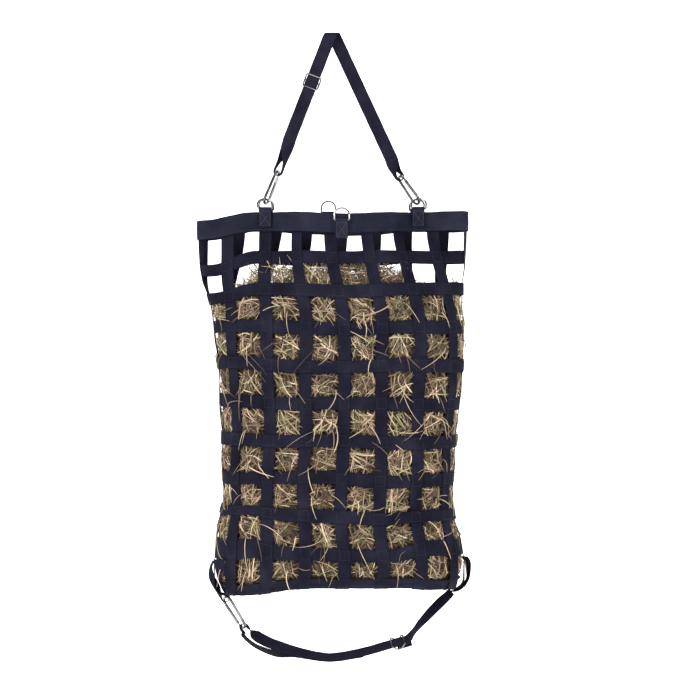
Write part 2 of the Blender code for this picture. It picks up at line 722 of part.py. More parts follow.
# ---------------------------------------------------------------- straps that end in a snap's eye
class Path:
    """A strap's middle line with its width direction and width at each point."""

    def __init__(self):
        self.centres, self.acrosses, self.widths = [], [], []

    def add(self, point, across, width=WEB):
        self.centres.append(Vector(point))
        self.acrosses.append(Vector(across))
        self.widths.append(width)

    def extend(self, other, backwards=False):
        step = -1 if backwards else 1
        self.centres += other.centres[::step]
        self.acrosses += other.acrosses[::step]
        self.widths += other.widths[::step]

    def upto(self, index):
        """The part of the path from its start to the given point."""
        part = Path()
        for row in list(zip(self.centres, self.acrosses, self.widths))[:index + 1]:
            part.add(*row)
        return part

    def after(self, index):
        """The part of the path that begins a small gap past the given point."""
        part = Path()
        step = (self.centres[index + 1] - self.centres[index]).normalized() * GAP * 1.25
        part.add(self.centres[index] + step, self.acrosses[index], self.widths[index])
        for row in list(zip(self.centres, self.acrosses, self.widths))[index + 1:]:
            part.add(*row)
        return part

    def build(self, name):
        return strap_along(name, self.centres, self.acrosses, widths=self.widths)


def eye_loop_radius(bend=SNAP_SMALL_R, width=EYE_WIDTH, slack=EYE_SLACK):
    """Radius of the webbing round a snap's bent wire, whose bend dips across the gathered width."""
    inside = bend - SNAP_WIRE - GAP
    return bend + THICK / 2 - math.sqrt(inside ** 2 - (width / 2) ** 2) + slack


def turned_about(vector, axis, angle):
    return Matrix.Rotation(angle, 3, axis) @ vector


def ply_path(eye, snap_up, up, eye_across, end_across, end_out, side, length, steps=5):
    """One ply of a strap that rises from the wire in a snap's eye and turns into its final plane.

    snap_up points out of the snap's end and up is the strap's own direction. side is +1 or -1 for
    the two plies, and end_out is the direction from the middle to the +1 ply at the far end.
    """
    loop_r = eye_loop_radius()
    start = eye_across.normalized()
    out = start.cross(snap_up)
    goal = (end_across - up * end_across.dot(up)).normalized()
    level = (start - up * start.dot(up)).normalized()
    angle = math.atan2(level.cross(goal).dot(up), level.dot(goal))
    if abs(angle) > math.pi / 2:
        angle -= math.copysign(math.pi, angle)
    flip = 1.0 if turned_about(level.cross(up), up, angle).dot(end_out) > 0 else -1.0
    path = Path()
    for i in range(1, steps + 1):
        share = i / steps
        ease = smoothstep(share)
        rise = snap_up.lerp(up, min(1.0, share * 1.5)).normalized()
        here = (start - rise * start.dot(rise)).normalized()
        across = turned_about(here, rise, angle * ease)
        apart = loop_r + (PLY - loop_r) * ease
        centre = eye + (snap_up * (1 - share) + up * share).normalized() * length * share
        width = EYE_WIDTH + (WEB - EYE_WIDTH) * smoothstep(share * 1.3)
        path.add(centre + across.cross(rise) * flip * side * apart, across, width)
    return path, out * flip * side


def eye_path(eye, up, eye_across, out, bend=SNAP_SMALL_R, width=EYE_WIDTH, slack=EYE_SLACK):
    """Half a turn of webbing under the wire, from the out side to the other side."""
    loop_r = eye_loop_radius(bend, width, slack)
    start = (eye_across - up * eye_across.dot(up)).normalized()
    path = Path()
    for i in range(7):
        angle = math.pi * i / 6
        ring = out * math.cos(angle) * loop_r - up * math.sin(angle) * loop_r
        path.add(eye + ring, start, width)
    return path


def local_x(frame):
    return frame.to_3x3().col[0].normalized()


PLY = THICK / 2 + GAP       # half distance between two plies that lie together


def make_hanging_strap():
    """Front leg on the left, helix over the rail, back leg on the right with a sewn foot."""
    front, back = Vector((0, -1, 0)), Vector((0, 1, 0))
    left_up = Vector((math.sin(LEFT_SLOPE), 0, math.cos(LEFT_SLOPE)))
    right_up = Vector((-math.sin(RIGHT_SLOPE), 0, math.cos(RIGHT_SLOPE)))
    left_side = Vector((left_up.z, 0, -left_up.x))
    right_side = Vector((right_up.z, 0, -right_up.x))
    left_across = local_x(snap_frame(LEFT_EYE, LEFT_RINGS, LEFT_TWIST))
    right_across = local_x(snap_frame(RIGHT_EYE, RIGHT_RINGS, RIGHT_TWIST))

    left_snap_up = (LEFT_EYE - LEFT_RINGS).normalized()
    right_snap_up = (RIGHT_EYE - RIGHT_RINGS).normalized()
    main, out = ply_path(LEFT_EYE, left_snap_up, left_up, left_across, left_side, front, 1, 0.075)
    behind, _ = ply_path(LEFT_EYE, left_snap_up, left_up, left_across, left_side, front, -1, 0.075)
    strap = Path()
    strap.extend(behind.upto(HANG_STRAP_END), backwards=True)
    strap.extend(eye_path(LEFT_EYE, left_snap_up, left_across, out), backwards=True)
    strap.extend(main)

    radius = FOLD_RADIUS + THICK / 2
    # an odd number of facets puts a level one on top, and its underside is the origin
    helix_steps, slant = 7, WEB / math.cos((LEFT_SLOPE + RIGHT_SLOPE) / 2)
    middle = Vector((0, 0, THICK / 2 - radius * math.cos(math.pi / 2 / helix_steps)))
    lead = math.pi * radius * math.tan((LEFT_SLOPE + RIGHT_SLOPE) / 2)
    top_left = middle + Vector((-lead / 2, -radius, 0))
    leg_foot = main.centres[-1]
    for share in (0.35, 0.7):
        strap.add(leg_foot.lerp(top_left, share), left_side)
    for i in range(helix_steps + 1):
        angle = math.pi * i / helix_steps
        turned_point = Vector((0, -radius * math.cos(angle), radius * math.sin(angle)))
        along_x = Vector((top_left.x + lead * i / helix_steps, 0, 0))
        strap.add(middle + turned_point + along_x, Vector((1, 0, 0)), slant)

    ends = (RIGHT_EYE, right_snap_up, right_up, right_across, right_side, back)
    foot, foot_out = ply_path(*ends, 1, 0.040)
    sewn, _ = ply_path(*ends, -1, 0.040)
    top_right = strap.centres[-1]
    for share in (0.35, 0.7):
        strap.add(top_right.lerp(foot.centres[-1], share), right_side)
    strap.extend(foot, backwards=True)
    strap.extend(eye_path(RIGHT_EYE, right_snap_up, right_across, foot_out))
    strap.extend(sewn)
    strap.build("hanging_strap")

    # the return run and the slider lie on the straight left leg
    leg = (top_left - leg_foot).normalized()
    square_front = left_side.cross(leg)
    square_front *= math.copysign(1.0, square_front.dot(front))
    on_leg = leg_foot + leg * ((HANG_SLIDER_Z - leg_foot.z) / leg.z)
    frame = slider_frame_at(on_leg, leg, left_side, square_front)
    make_slider("hanging", frame)
    run = behind.after(HANG_STRAP_END)
    last = on_leg - square_front * (2 * PLY) - leg * 0.0085
    run.add(last - leg * 0.03, left_side)
    run.add(last, left_side)
    run.build("hanging_strap_return")


# ---------------------------------------------------------------- bottom strap
def bottom_frames():
    """Points of the bottom strap with its direction, width direction and outer face."""
    points = [Vector((x, 0, z)) for x, z, _ in BOTTOM_ROUTE]
    found = []
    for i, point in enumerate(points):
        before, after = points[max(i - 1, 0)], points[min(i + 1, len(points) - 1)]
        direction = (after - before).normalized()
        roll = math.radians(BOTTOM_ROUTE[i][2])
        across = turned_about(Vector((0, 1, 0)), direction, roll)
        face = direction.cross(across).normalized()
        found.append((point, direction, across, face))
    return found


def make_bottom_strap():
    frames = bottom_frames()
    eye_across = local_x(snap_frame(BOTTOM_EYE, LEFT_CORNER, BOTTOM_TWIST))
    first, first_dir, first_across, first_face = frames[0]
    away = (first - BOTTOM_EYE).normalized()
    reach = (first - BOTTOM_EYE).length * 0.8
    outer = -first_face
    snap_up = (BOTTOM_EYE - LEFT_CORNER).normalized()
    ends = (BOTTOM_EYE, snap_up, away, eye_across, first_across, outer)
    main, out = ply_path(*ends, -1, reach, 3)
    under, _ = ply_path(*ends, 1, reach, 3)
    strap = Path()
    strap.extend(under.upto(BOTTOM_STRAP_END), backwards=True)
    strap.extend(eye_path(BOTTOM_EYE, snap_up, eye_across, out), backwards=True)
    strap.extend(main)
    for point, direction, across, face in frames[:-1]:
        strap.add(point + face * PLY, across)
    last, _, last_across, last_face = frames[-1]
    strap.add(last + last_face * PLY, last_across, BOTTOM_END_WIDTH)
    strap.build("bottom_strap")

    at, direction, across, face = frames[BOTTOM_SLIDER_AT]
    frame = slider_frame_at(at + face * PLY, -direction, across, face)
    make_slider("bottom", frame)
    run = under.after(BOTTOM_STRAP_END)
    for point, _, side, out_face in frames[:BOTTOM_SLIDER_AT]:
        run.add(point - out_face * PLY, side)
    run.build("bottom_strap_return")


def make_corner_loops():
    """Webbing loops that gather each bottom corner."""
    across = Vector((0, 1, 0))
    up = (LEFT_CORNER - BOTTOM_EYE).normalized()
    eye_across = local_x(snap_frame(BOTTOM_EYE, LEFT_CORNER, BOTTOM_TWIST))
    out = eye_across.cross(up).normalized()
    out *= -math.copysign(1.0, out.x)
    left = Path()
    for x, z in ((-0.2400, -1.0560), (-0.2385, -1.0740), (-0.2290, -1.0940)):
        left.add(Vector((x, 0, z)), across, 0.0180)
    left.extend(eye_path(LEFT_CORNER, up, eye_across, out, SNAP_LARGE_R,
                         CORNER_EYE_WIDTH, CORNER_EYE_SLACK))
    for x, z in ((-0.1960, -1.1010), (-0.1700, -1.0985)):
        left.add(Vector((x, 0, z)), across, 0.0180)
    left.build("left_corner_loop")
    right = Path()
    for x, z in ((0.2690, -1.0500), (0.2690, -1.0720), (0.2655, -1.0865), (0.2560, -1.0965),
                 (0.2430, -1.1005), (0.2240, -1.1010), (0.2000, -1.0985)):
        right.add(Vector((x, 0, z)), across, 0.0200)
    right.build("right_corner_loop")


# ---------------------------------------------------------------- assembly
make_rim()
make_hoops()
make_base_hoop()
make_long_straps()
make_side_strap()
make_hay()
make_rings()
make_snap("left", LEFT_EYE, LEFT_RINGS, LEFT_TWIST)
make_snap("right", RIGHT_EYE, RIGHT_RINGS, RIGHT_TWIST)
make_snap("bottom", BOTTOM_EYE, LEFT_CORNER, BOTTOM_TWIST)
make_hanging_strap()
make_bottom_strap()
make_corner_loops()
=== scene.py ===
"""Looks of the hay net: woven webbing with its stitching, loose hay, and nickel-plated metalwork."""
import math

import bpy
import numpy as np
from mathutils import Matrix, Vector


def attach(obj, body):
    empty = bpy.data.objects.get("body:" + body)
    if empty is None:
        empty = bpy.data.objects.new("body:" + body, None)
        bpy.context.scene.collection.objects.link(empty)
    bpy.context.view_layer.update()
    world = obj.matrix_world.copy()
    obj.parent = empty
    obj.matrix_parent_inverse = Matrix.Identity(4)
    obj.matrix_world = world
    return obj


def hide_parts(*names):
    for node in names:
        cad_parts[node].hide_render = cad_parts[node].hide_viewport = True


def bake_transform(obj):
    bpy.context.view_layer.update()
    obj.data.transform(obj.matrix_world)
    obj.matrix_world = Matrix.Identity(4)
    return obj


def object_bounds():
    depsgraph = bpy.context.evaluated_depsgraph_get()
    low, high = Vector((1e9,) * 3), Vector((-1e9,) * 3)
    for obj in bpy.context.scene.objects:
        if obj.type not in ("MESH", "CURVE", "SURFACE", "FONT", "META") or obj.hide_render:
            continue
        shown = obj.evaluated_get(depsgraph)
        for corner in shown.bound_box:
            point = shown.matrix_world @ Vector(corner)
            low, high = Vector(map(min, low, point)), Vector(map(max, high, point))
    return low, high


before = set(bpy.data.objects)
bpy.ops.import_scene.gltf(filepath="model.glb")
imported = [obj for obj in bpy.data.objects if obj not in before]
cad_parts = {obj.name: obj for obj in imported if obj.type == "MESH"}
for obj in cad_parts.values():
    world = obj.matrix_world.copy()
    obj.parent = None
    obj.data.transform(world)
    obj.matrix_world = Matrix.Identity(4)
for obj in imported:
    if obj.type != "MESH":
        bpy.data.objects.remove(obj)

CAD_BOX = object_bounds()

# ---------------------------------------------------------------- dimensions shared with the CAD
WEB, THICK, PITCH = 0.0254, 0.0016, 0.0762
STRAPS_AROUND = 16
GAP = 0.0004
LAYER = THICK + 2 * GAP
RIM_Z, RIM_HEIGHT, RIM_THICK = -0.373, 0.038, 0.0030
TOP_ROW_Z, SECOND_ROW_Z, ROW_STEP, ROWS = -0.4427, -0.5075, 0.0736, 9
FOOT_Z, FOOT_RADIUS = -1.040, 0.052
BASE_HOOP_EXTRA = 0.0010
SHAPE_FROM_Z, SHAPE_TO_Z = -0.385, -0.560
SECTION_POWER = 2.6
PROFILE = [
    (-0.370, 0.258, 0.090, 0.002),
    (-0.530, 0.249, 0.100, 0.008),
    (-0.690, 0.241, 0.111, 0.014),
    (-0.800, 0.232, 0.116, 0.015),
    (-0.900, 0.226, 0.118, 0.014),
    (-0.980, 0.236, 0.117, 0.013),
    (-1.040, 0.246, 0.112, 0.014),
]
MOUTH = [
    (0.018, -0.082), (0.090, -0.056), (0.150, -0.0085), (0.170, -0.0058), (0.192, -0.0085),
    (0.225, -0.020), (0.260, -0.021), (0.260, 0.021), (0.225, 0.020), (0.192, 0.0085),
    (0.170, 0.0058), (0.150, 0.0085), (0.090, 0.056), (0.018, 0.082), (-0.055, 0.056),
    (-0.113, 0.0085), (-0.133, 0.0058), (-0.155, 0.0085), (-0.205, 0.018), (-0.257, 0.010),
    (-0.257, -0.010), (-0.205, -0.018), (-0.155, -0.0085), (-0.133, -0.0058), (-0.113, -0.0085),
    (-0.055, -0.056),
]
MOUTH_SHIFT, BAG_SHIFT = -0.30, 0.12
END_DROOP, END_DROOP_FROM, END_DROOP_OVER, MIDDLE_SAG = 0.016, -0.150, 0.100, 0.005
HAY_TOP_Z = -0.500
RING_WIRE, RING_HEIGHT = 0.0018, 0.0240
TAB_THICK, TAB_CLEAR = 0.0012, 0.0017
SNAP_WIRE, SNAP_SMALL_R, SNAP_LARGE_R = 0.0029, 0.0090, 0.0115
SLIDER_WIRE, SLIDER_SET_BACK = 0.0017, 0.0083
FOLD_RADIUS = 0.0080
LEFT_SLOPE, RIGHT_SLOPE = math.radians(19.8), math.radians(24.9)
LEFT_EYE, RIGHT_EYE = Vector((-0.1072, 0.0, -0.2728)), Vector((0.1330, 0.0, -0.2830))
LEFT_RINGS, RIGHT_RINGS = Vector((-0.1330, 0.0, -0.3360)), Vector((0.1700, 0.0, -0.3360))
LEFT_CORNER, BOTTOM_EYE = Vector((-0.2120, 0.0, -1.1150)), Vector((-0.1745, 0.0, -1.1750))
LEFT_TWIST, RIGHT_TWIST, BOTTOM_TWIST = 70.0, -60.0, 50.0
# x, z and roll in degrees, from the bottom snap's eye to the right corner, where the CAD rolls it less
BOTTOM_ROUTE = [
    (-0.1440, -1.1960, 50), (-0.1200, -1.2075, 48), (-0.0724, -1.2235, 45), (-0.0248, -1.2325, 30),
    (0.0069, -1.2335, 30), (0.0600, -1.2245, 34), (0.1300, -1.2046, 34), (0.1490, -1.1990, 34),
    (0.1630, -1.1820, 18), (0.1815, -1.1600, 32), (0.2100, -1.1300, 42), (0.2320, -1.1095, 38),
]
EYE_WIDTH, EYE_SLACK = 0.0090, 0.0018
CORNER_EYE_WIDTH, CORNER_EYE_SLACK = 0.0042, 0.0050
HANG_SLIDER_Z = -0.0960
BOTTOM_SLIDER_AT, HANG_STRAP_END, BOTTOM_STRAP_END = 6, 2, 0
RING_APEX_Y, RING_ON_WIRE = 0.0029, 0.0078
RINGS_FREE = [("middle_front", 0.0190, True, -0.3740), ("middle_back", -0.0060, False, -0.3500)]
HALF_WEB_S = WEB / 2 / PITCH
PLY = THICK / 2 + GAP
TAB_INNER_R = RING_WIRE + GAP + TAB_THICK / 2

# ---------------------------------------------------------------- looks
BASE_HOOP_SEEN = (33, 70)    # degrees round the turn under the bag
SIDE_BEND = 0.022            # the side strap's turn under the bag
WEAVE_REST = -0.0012         # middle of the woven layer, from the upright straps' CAD surface
WEAVE_LIFT = 0.0010          # straps and hoops stand this far to either side of it
TAB_WIDTH, TAB_REACH = 0.0242, 0.0350    # wider and longer than in the CAD
ROW_RISE_LEFT, ROW_RISE_RIGHT = 0.019, 0.016
MOUTH_HANG, CORNER_DROOP_LEFT, CORNER_DROOP_RIGHT = 0.015, 0.0175, 0.006
TANGLES, TANGLED_STEMS, HEAPED_STEMS, PULLED_STEMS, WISPS = 3, 5000, 3000, 500, 70
FRONT, BACK, UP = Vector((0, -1, 0)), Vector((0, 1, 0)), Vector((0, 0, 1))
RNG = np.random.default_rng(20240611)


# ---------------------------------------------------------------- the bag's surface
def smoothstep(value):
    t = np.clip(value, 0.0, 1.0)
    return t * t * (3 - 2 * t)


def catmull_rom(p0, p1, p2, p3, t):
    """The point at share t of the way from p1 to p2."""
    return 0.5 * (2 * p1 + (p2 - p0) * t + (2 * p0 - 5 * p1 + 4 * p2 - p3) * t * t
                  + (3 * p1 - p0 - 3 * p2 + p3) * t ** 3)


def smooth_closed(knots, per_span=12):
    found = []
    for i in range(len(knots)):
        corners = [np.array(knots[(i + j) % len(knots)]) for j in (-1, 0, 1, 2)]
        found += [catmull_rom(*corners, step / per_span) for step in range(per_span)]
    return np.array(found)


def read_loop(points, fractions):
    """Points of a closed plan curve at fractions of its length."""
    ends = np.vstack([points, points[:1]])
    run = np.concatenate([[0.0], np.cumsum(np.hypot(*np.diff(ends, axis=0).T))])
    at = (fractions % 1.0) * run[-1]
    return np.stack([np.interp(at, run, ends[:, i]) for i in (0, 1)], axis=1)


def section(z, samples=144):
    heights = [-row[0] for row in PROFILE]
    half_width, half_depth, lean = (np.interp(-z, heights, [row[i] for row in PROFILE]) for i in (1, 2, 3))
    angle = 2 * np.pi * np.arange(samples) / samples - np.pi / 2
    c, s = np.cos(angle), np.sin(angle)
    power = 2 / SECTION_POWER
    return np.stack([lean + half_width * np.sign(c) * np.abs(c) ** power,
                     half_depth * np.sign(s) * np.abs(s) ** power], axis=1)


class Surface:
    """The bag's surface as a table of plan points over turns and heights, read with interpolation."""

    AROUND, STEP, TOP = 768, 0.003, -0.345

    def __init__(self):
        self.levels = np.arange(self.TOP, FOOT_Z - self.STEP, -self.STEP)
        self.s = np.arange(self.AROUND) * STRAPS_AROUND / self.AROUND
        mouth = smooth_closed(MOUTH)
        rows = []
        for z in self.levels:
            share = smoothstep((SHAPE_FROM_Z - z) / (SHAPE_FROM_Z - SHAPE_TO_Z))
            plan = read_loop(mouth, (self.s + MOUTH_SHIFT) / STRAPS_AROUND) * (1 - share)
            plan = plan + read_loop(section(max(z, FOOT_Z)), (self.s + BAG_SHIFT) / STRAPS_AROUND) * share
            rows.append(plan)
        self.plan = np.array(rows)
        reach = 4
        tangent = np.roll(self.plan, -reach, axis=1) - np.roll(self.plan, reach, axis=1)
        length = np.hypot(tangent[..., 0], tangent[..., 1])
        self.normal = np.stack([tangent[..., 1], -tangent[..., 0]], axis=-1) / length[..., None]

    def read(self, table, s, z):
        row = np.clip((self.TOP - z) / self.STEP, 0, len(self.levels) - 1.001)
        column = (s % STRAPS_AROUND) / STRAPS_AROUND * self.AROUND
        r0, c0 = np.floor(row).astype(int), np.floor(column).astype(int) % self.AROUND
        fr, fc = (row - r0)[..., None], (column - np.floor(column))[..., None]
        r1, c1 = r0 + 1, (c0 + 1) % self.AROUND
        top = table[r0, c0] * (1 - fc) + table[r0, c1] * fc
        low = table[r1, c0] * (1 - fc) + table[r1, c1] * fc
        return top * (1 - fr) + low * fr

    def at(self, s, z, offset=0.0):
        """Points at s pitches round, height z, moved outward by offset. All three may be arrays."""
        s, z, offset = np.broadcast_arrays(np.asarray(s, float), z, offset)
        plan, normal = self.read(self.plan, s, z), self.read(self.normal, s, z)
        share = smoothstep((SHAPE_FROM_Z - z) / (SHAPE_FROM_Z - SHAPE_TO_Z))
        left = END_DROOP * smoothstep((END_DROOP_FROM - plan[..., 0]) / END_DROOP_OVER)
        middle = MIDDLE_SAG * smoothstep(1 - np.abs(plan[..., 0] - 0.018) / 0.150)
        out = plan + normal * offset[..., None]
        return np.concatenate([out, (z - (left + middle) * (1 - share))[..., None]], axis=-1)

    def at_base(self, s, angle, level):
        """Points round the turn under the bag: angle from 0 at the foot to 90 degrees underneath."""
        s, angle, level = np.broadcast_arrays(np.asarray(s, float), angle, level)
        radius = FOOT_RADIUS + level
        point = self.at(s, FOOT_Z, level - radius * (1 - np.cos(angle)))
        point[..., 2] -= radius * np.sin(angle)
        return point


BAG = Surface()
ROW_ZS = [TOP_ROW_Z] + [SECOND_ROW_Z - ROW_STEP * i for i in range(ROWS - 1)]


def warp(points):
    """The uneven pull of a full net: rows rise and wander, the mouth's left and the bottom corners hang."""
    p = np.array(points, float)
    x, y, z = p[..., 0].copy(), p[..., 1].copy(), p[..., 2].copy()
    full = smoothstep((-0.45 - z) / 0.12) * smoothstep((z + 1.088) / 0.05)
    low = np.exp(-((z + 0.995) / 0.060) ** 2)
    right = smoothstep((x - 0.110) / 0.090) * ROW_RISE_RIGHT * np.exp(-((z + 1.015) / 0.045) ** 2)
    left = smoothstep((-0.080 - x) / 0.090) * ROW_RISE_LEFT * low
    face = np.sign(y)
    wander = 0.0030 * np.sin(9.0 * x + 5.0 * z + 1.0) + 0.0022 * np.sin(21.0 * x - 13.0 * z + 3.0 * face)
    sway = 0.0030 * np.sin(11.0 * z + 2.0) + 0.0020 * np.sin(27.0 * z + 8.0 * x + 2.0 * face)
    mouth = smoothstep((-0.412 - z) / 0.030) * smoothstep((z + 0.575) / 0.060)
    hang = -MOUTH_HANG * smoothstep((-0.145 - x) / 0.085) * mouth
    low_end = smoothstep((-0.985 - z) / 0.085)
    droop = (-CORNER_DROOP_LEFT * smoothstep((-0.040 - x) / 0.150)
             - CORNER_DROOP_RIGHT * smoothstep((x - 0.130) / 0.080))
    # less in the middle plane, where the bottom snap and the bottom strap swing
    droop = droop * (0.72 + 0.28 * smoothstep(np.abs(y) / 0.045))
    p[..., 2] += full * (right + left + wander) + hang + low_end * droop
    p[..., 0] += full * sway
    return p


def row_sign(z):
    """+1 where the upright straps lie outside, -1 where the hoops do, smooth in between."""
    centres = np.array([RIM_Z] + ROW_ZS + [FOOT_Z - 0.045])
    signs = np.array([-1.0] + [1.0 if row % 2 else -1.0 for row in range(1, ROWS + 1)] + [1.0])
    turns = np.interp(-np.asarray(z, float), -centres, np.arange(len(centres)))
    base = np.floor(turns).astype(int).clip(0, len(centres) - 2)
    share = smoothstep((turns - base - 0.20) / 0.60)
    return signs[base] * (1 - share) + signs[base + 1] * share


# ---------------------------------------------------------------- meshes
def mesh_object(name, points, faces, uvs=None):
    mesh = bpy.data.meshes.new(name)
    faces = faces if isinstance(faces, list) else faces.tolist()
    mesh.from_pydata(np.asarray(points, float).tolist(), [], faces)
    mesh.update()
    mesh.polygons.foreach_set("use_smooth", np.ones(len(mesh.polygons), bool))
    if uvs is not None:
        layer = mesh.uv_layers.new(name="weave")
        loops = np.zeros(len(mesh.loops), int)
        mesh.loops.foreach_get("vertex_index", loops)
        layer.data.foreach_set("uv", np.asarray(uvs, np.float32)[loops].ravel())
    obj = bpy.data.objects.new(name, mesh)
    bpy.context.scene.collection.objects.link(obj)
    return obj


def finish_piece(obj, material, body, replaced=()):
    obj.data.materials.clear()
    obj.data.materials.append(material)
    if body:
        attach(obj, body)
    if replaced:
        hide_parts(*replaced)
    return obj


def tube_faces(rings, sides, closed=False):
    """Quads between rings of points, as (rings, sides, 4), with a row back to the first ring if closed."""
    i, j = np.meshgrid(np.arange(rings if closed else rings - 1), np.arange(sides), indexing="ij")
    here, ahead, beside = i * sides, (i + 1) % rings * sides, (j + 1) % sides
    return np.stack([here + j, here + beside, ahead + beside, ahead + j], axis=-1)


def run_along(line):
    """Length from the start of a line to each of its points."""
    return np.concatenate([[0.0], np.cumsum(np.linalg.norm(np.diff(line, axis=0), axis=1))])


ACROSS_STEPS, FLAT_SHARE = 8, 0.955


def web_section(half_thick):
    """Round-edged section of webbing: (share of the half width, height) all the way round."""
    flat = np.linspace(-1, 1, ACROSS_STEPS + 1) * FLAT_SHARE
    edge = [(0.992, 0.62), (1.0, 0.0), (0.992, -0.62)]
    ring = [(u, 1.0) for u in flat] + edge + [(u, -1.0) for u in flat[::-1]] + [(-u, -v) for u, v in edge]
    return np.array(ring) * np.array([1.0, half_thick])


def webbing(name, lefts, rights, thickness=THICK, closed=False, cup=0.0, ripple=0.00012):
    """A woven strap between two edge lines, with rounded edges, a slight cup and uneven thickness."""
    lefts, rights = np.asarray(lefts, float), np.asarray(rights, float)
    middle, across = (lefts + rights) / 2, rights - lefts
    half = np.linalg.norm(across, axis=1) / 2
    across = across / (2 * half[:, None])
    if closed:
        along = np.roll(middle, -1, axis=0) - np.roll(middle, 1, axis=0)
    else:
        along = np.gradient(middle, axis=0)
    along /= np.linalg.norm(along, axis=1)[:, None]
    normal = np.cross(across, along)
    normal /= np.linalg.norm(normal, axis=1)[:, None]
    ring = web_section(thickness / 2)
    n, m = len(middle), len(ring)
    phase = RNG.uniform(0, 6.28, 3)
    run = run_along(middle)
    lift = ripple * (np.sin(run * 210 + phase[0]) + np.sin(run * 97 + phase[1]))
    edge = 1 + 0.010 * np.sin(run * 160 + phase[2])
    u, v = ring[:, 0], ring[:, 1]
    height = v[None, :] + cup * (1 - u[None, :] ** 2) + lift[:, None] * (1 + 0.5 * u[None, :])
    points = (middle[:, None, :] + across[:, None, :] * (half * edge)[:, None, None] * u[None, :, None]
              + normal[:, None, :] * height[:, :, None])
    uvs = np.stack([np.broadcast_to((u * 0.5 + 0.5)[None, :], (n, m)),
                    np.broadcast_to((run / WEB)[:, None], (n, m))], axis=-1)
    faces = tube_faces(n, m, closed).reshape(-1, 4).tolist()
    if not closed:
        faces += [list(range(m))[::-1], [(n - 1) * m + k for k in range(m)]]
    return mesh_object(name, points.reshape(-1, 3), faces, uvs.reshape(-1, 2))


def spline_through(rows, step):
    """Catmull-Rom curve through rows of numbers whose first three columns are a place."""
    rows = np.asarray(rows, float)
    padded = np.vstack([2 * rows[0] - rows[1], rows, 2 * rows[-1] - rows[-2]])
    found = []
    for i in range(1, len(padded) - 2):
        corners = padded[i - 1:i + 3]
        count = max(1, int(round(np.linalg.norm(corners[2][:3] - corners[1][:3]) / step)))
        found += [catmull_rom(*corners, k / count) for k in range(count)]
    return np.array(found + [rows[-1]])


STITCH_R = 0.00030
STITCH_SPOTS = ((0, 0.12, 0.45, -0.7), (1, 0.50, 1.0, 0.35), (2, 0.88, 0.45, -0.7))
QUARTER_TURNS = (0.0, 1.5708, 3.1416, 4.7124)


def stitch_rows(lines, pitch=0.0030, radius=STITCH_R):
    """Stitches along lines of (points, outward normals): points and faces of short domed threads."""
    points, faces, quads = [], [], tube_faces(3, 4).reshape(-1, 4)
    for line, normals in lines:
        line, normals = np.asarray(line, float), np.asarray(normals, float)
        run = run_along(line)
        count = max(1, int(run[-1] / pitch))
        for k in range(count):
            ends = np.array([k + share for _, share, _, _ in STITCH_SPOTS]) * run[-1] / count
            place, out = (np.stack([np.interp(ends, run, given[:, i]) for i in range(3)], axis=1)
                          for given in (line, normals))
            out /= np.linalg.norm(out, axis=1)[:, None]
            along = place[2] - place[0]
            along /= np.linalg.norm(along) + 1e-12
            side = np.cross(out, along)
            base = len(points)
            for spot, _, size, rise in STITCH_SPOTS:
                centre = place[spot] + out[spot] * radius * rise
                for angle in QUARTER_TURNS:
                    reach = side[spot] * math.cos(angle) + out[spot] * math.sin(angle)
                    points.append(centre + reach * radius * size)
            faces += (quads + base).tolist()
            faces.append([base + 3, base + 2, base + 1, base])
            faces.append([base + 8, base + 9, base + 10, base + 11])
    return points, faces


def sew(name, lines, material, body="bag", **thread):
    """Stitches along lines, as one piece."""
    finish_piece(mesh_object(name, *stitch_rows(lines, **thread)), material, body)


# ---------------------------------------------------------------- materials
class Shade:
    """A material and its nodes, with short calls that add nodes and wire them up."""

    def __init__(self, name, colour, roughness, metallic=0.0):
        self.material = bpy.data.materials.new(name)
        self.material.use_nodes = True
        self.tree = self.material.node_tree
        self.shader = self.tree.nodes["Principled BSDF"]
        self.look({"Base Color": (*colour, 1.0), "Roughness": roughness, "Metallic": metallic})

    def feed(self, made, inputs):
        """Each input, by name or place, takes a value or another node's output."""
        for key, value in inputs.items():
            if isinstance(value, bpy.types.NodeSocket):
                self.tree.links.new(value, made.inputs[key])
            else:
                made.inputs[key].default_value = value

    def look(self, inputs):
        self.feed(self.shader, inputs)

    def add(self, kind, inputs, output=0, **settings):
        made = self.tree.nodes.new("ShaderNode" + kind)
        for key, value in settings.items():
            setattr(made, key, value)
        self.feed(made, inputs)
        return made.outputs[output]

    def math(self, operation, *terms):
        return self.add("Math", dict(enumerate(terms)), operation=operation)

    def mapped(self, value, low, high, from_low=0.0, from_high=1.0):
        return self.add("MapRange", {"Value": value, "From Min": from_low, "From Max": from_high,
                                     "To Min": low, "To Max": high}, "Result")

    def noise(self, scale, detail, roughness):
        place = self.add("TexCoord", {}, "Object")
        return self.add("TexNoise", {"Vector": place, "Scale": scale, "Detail": detail,
                                     "Roughness": roughness}, "Fac")

    def ramp(self, value, stops):
        made = self.tree.nodes.new("ShaderNodeValToRGB")
        elements = made.color_ramp.elements
        while len(elements) < len(stops):
            elements.new(0.5)
        for element, (at, colour) in zip(elements, stops):
            element.position = at
            element.color = (*colour, 1.0)
        self.feed(made, {"Fac": value})
        return made.outputs["Color"]

    def weave_place(self):
        """The two outputs of the piece's own coordinates."""
        place = self.add("UVMap", {}, "UV", uv_map="weave")
        return self.add("SeparateXYZ", {0: place}).node.outputs[:2]

    def bump(self, height, strength, distance):
        inputs = {"Height": height, "Strength": strength, "Distance": distance}
        self.look({"Normal": self.add("Bump", inputs, "Normal")})


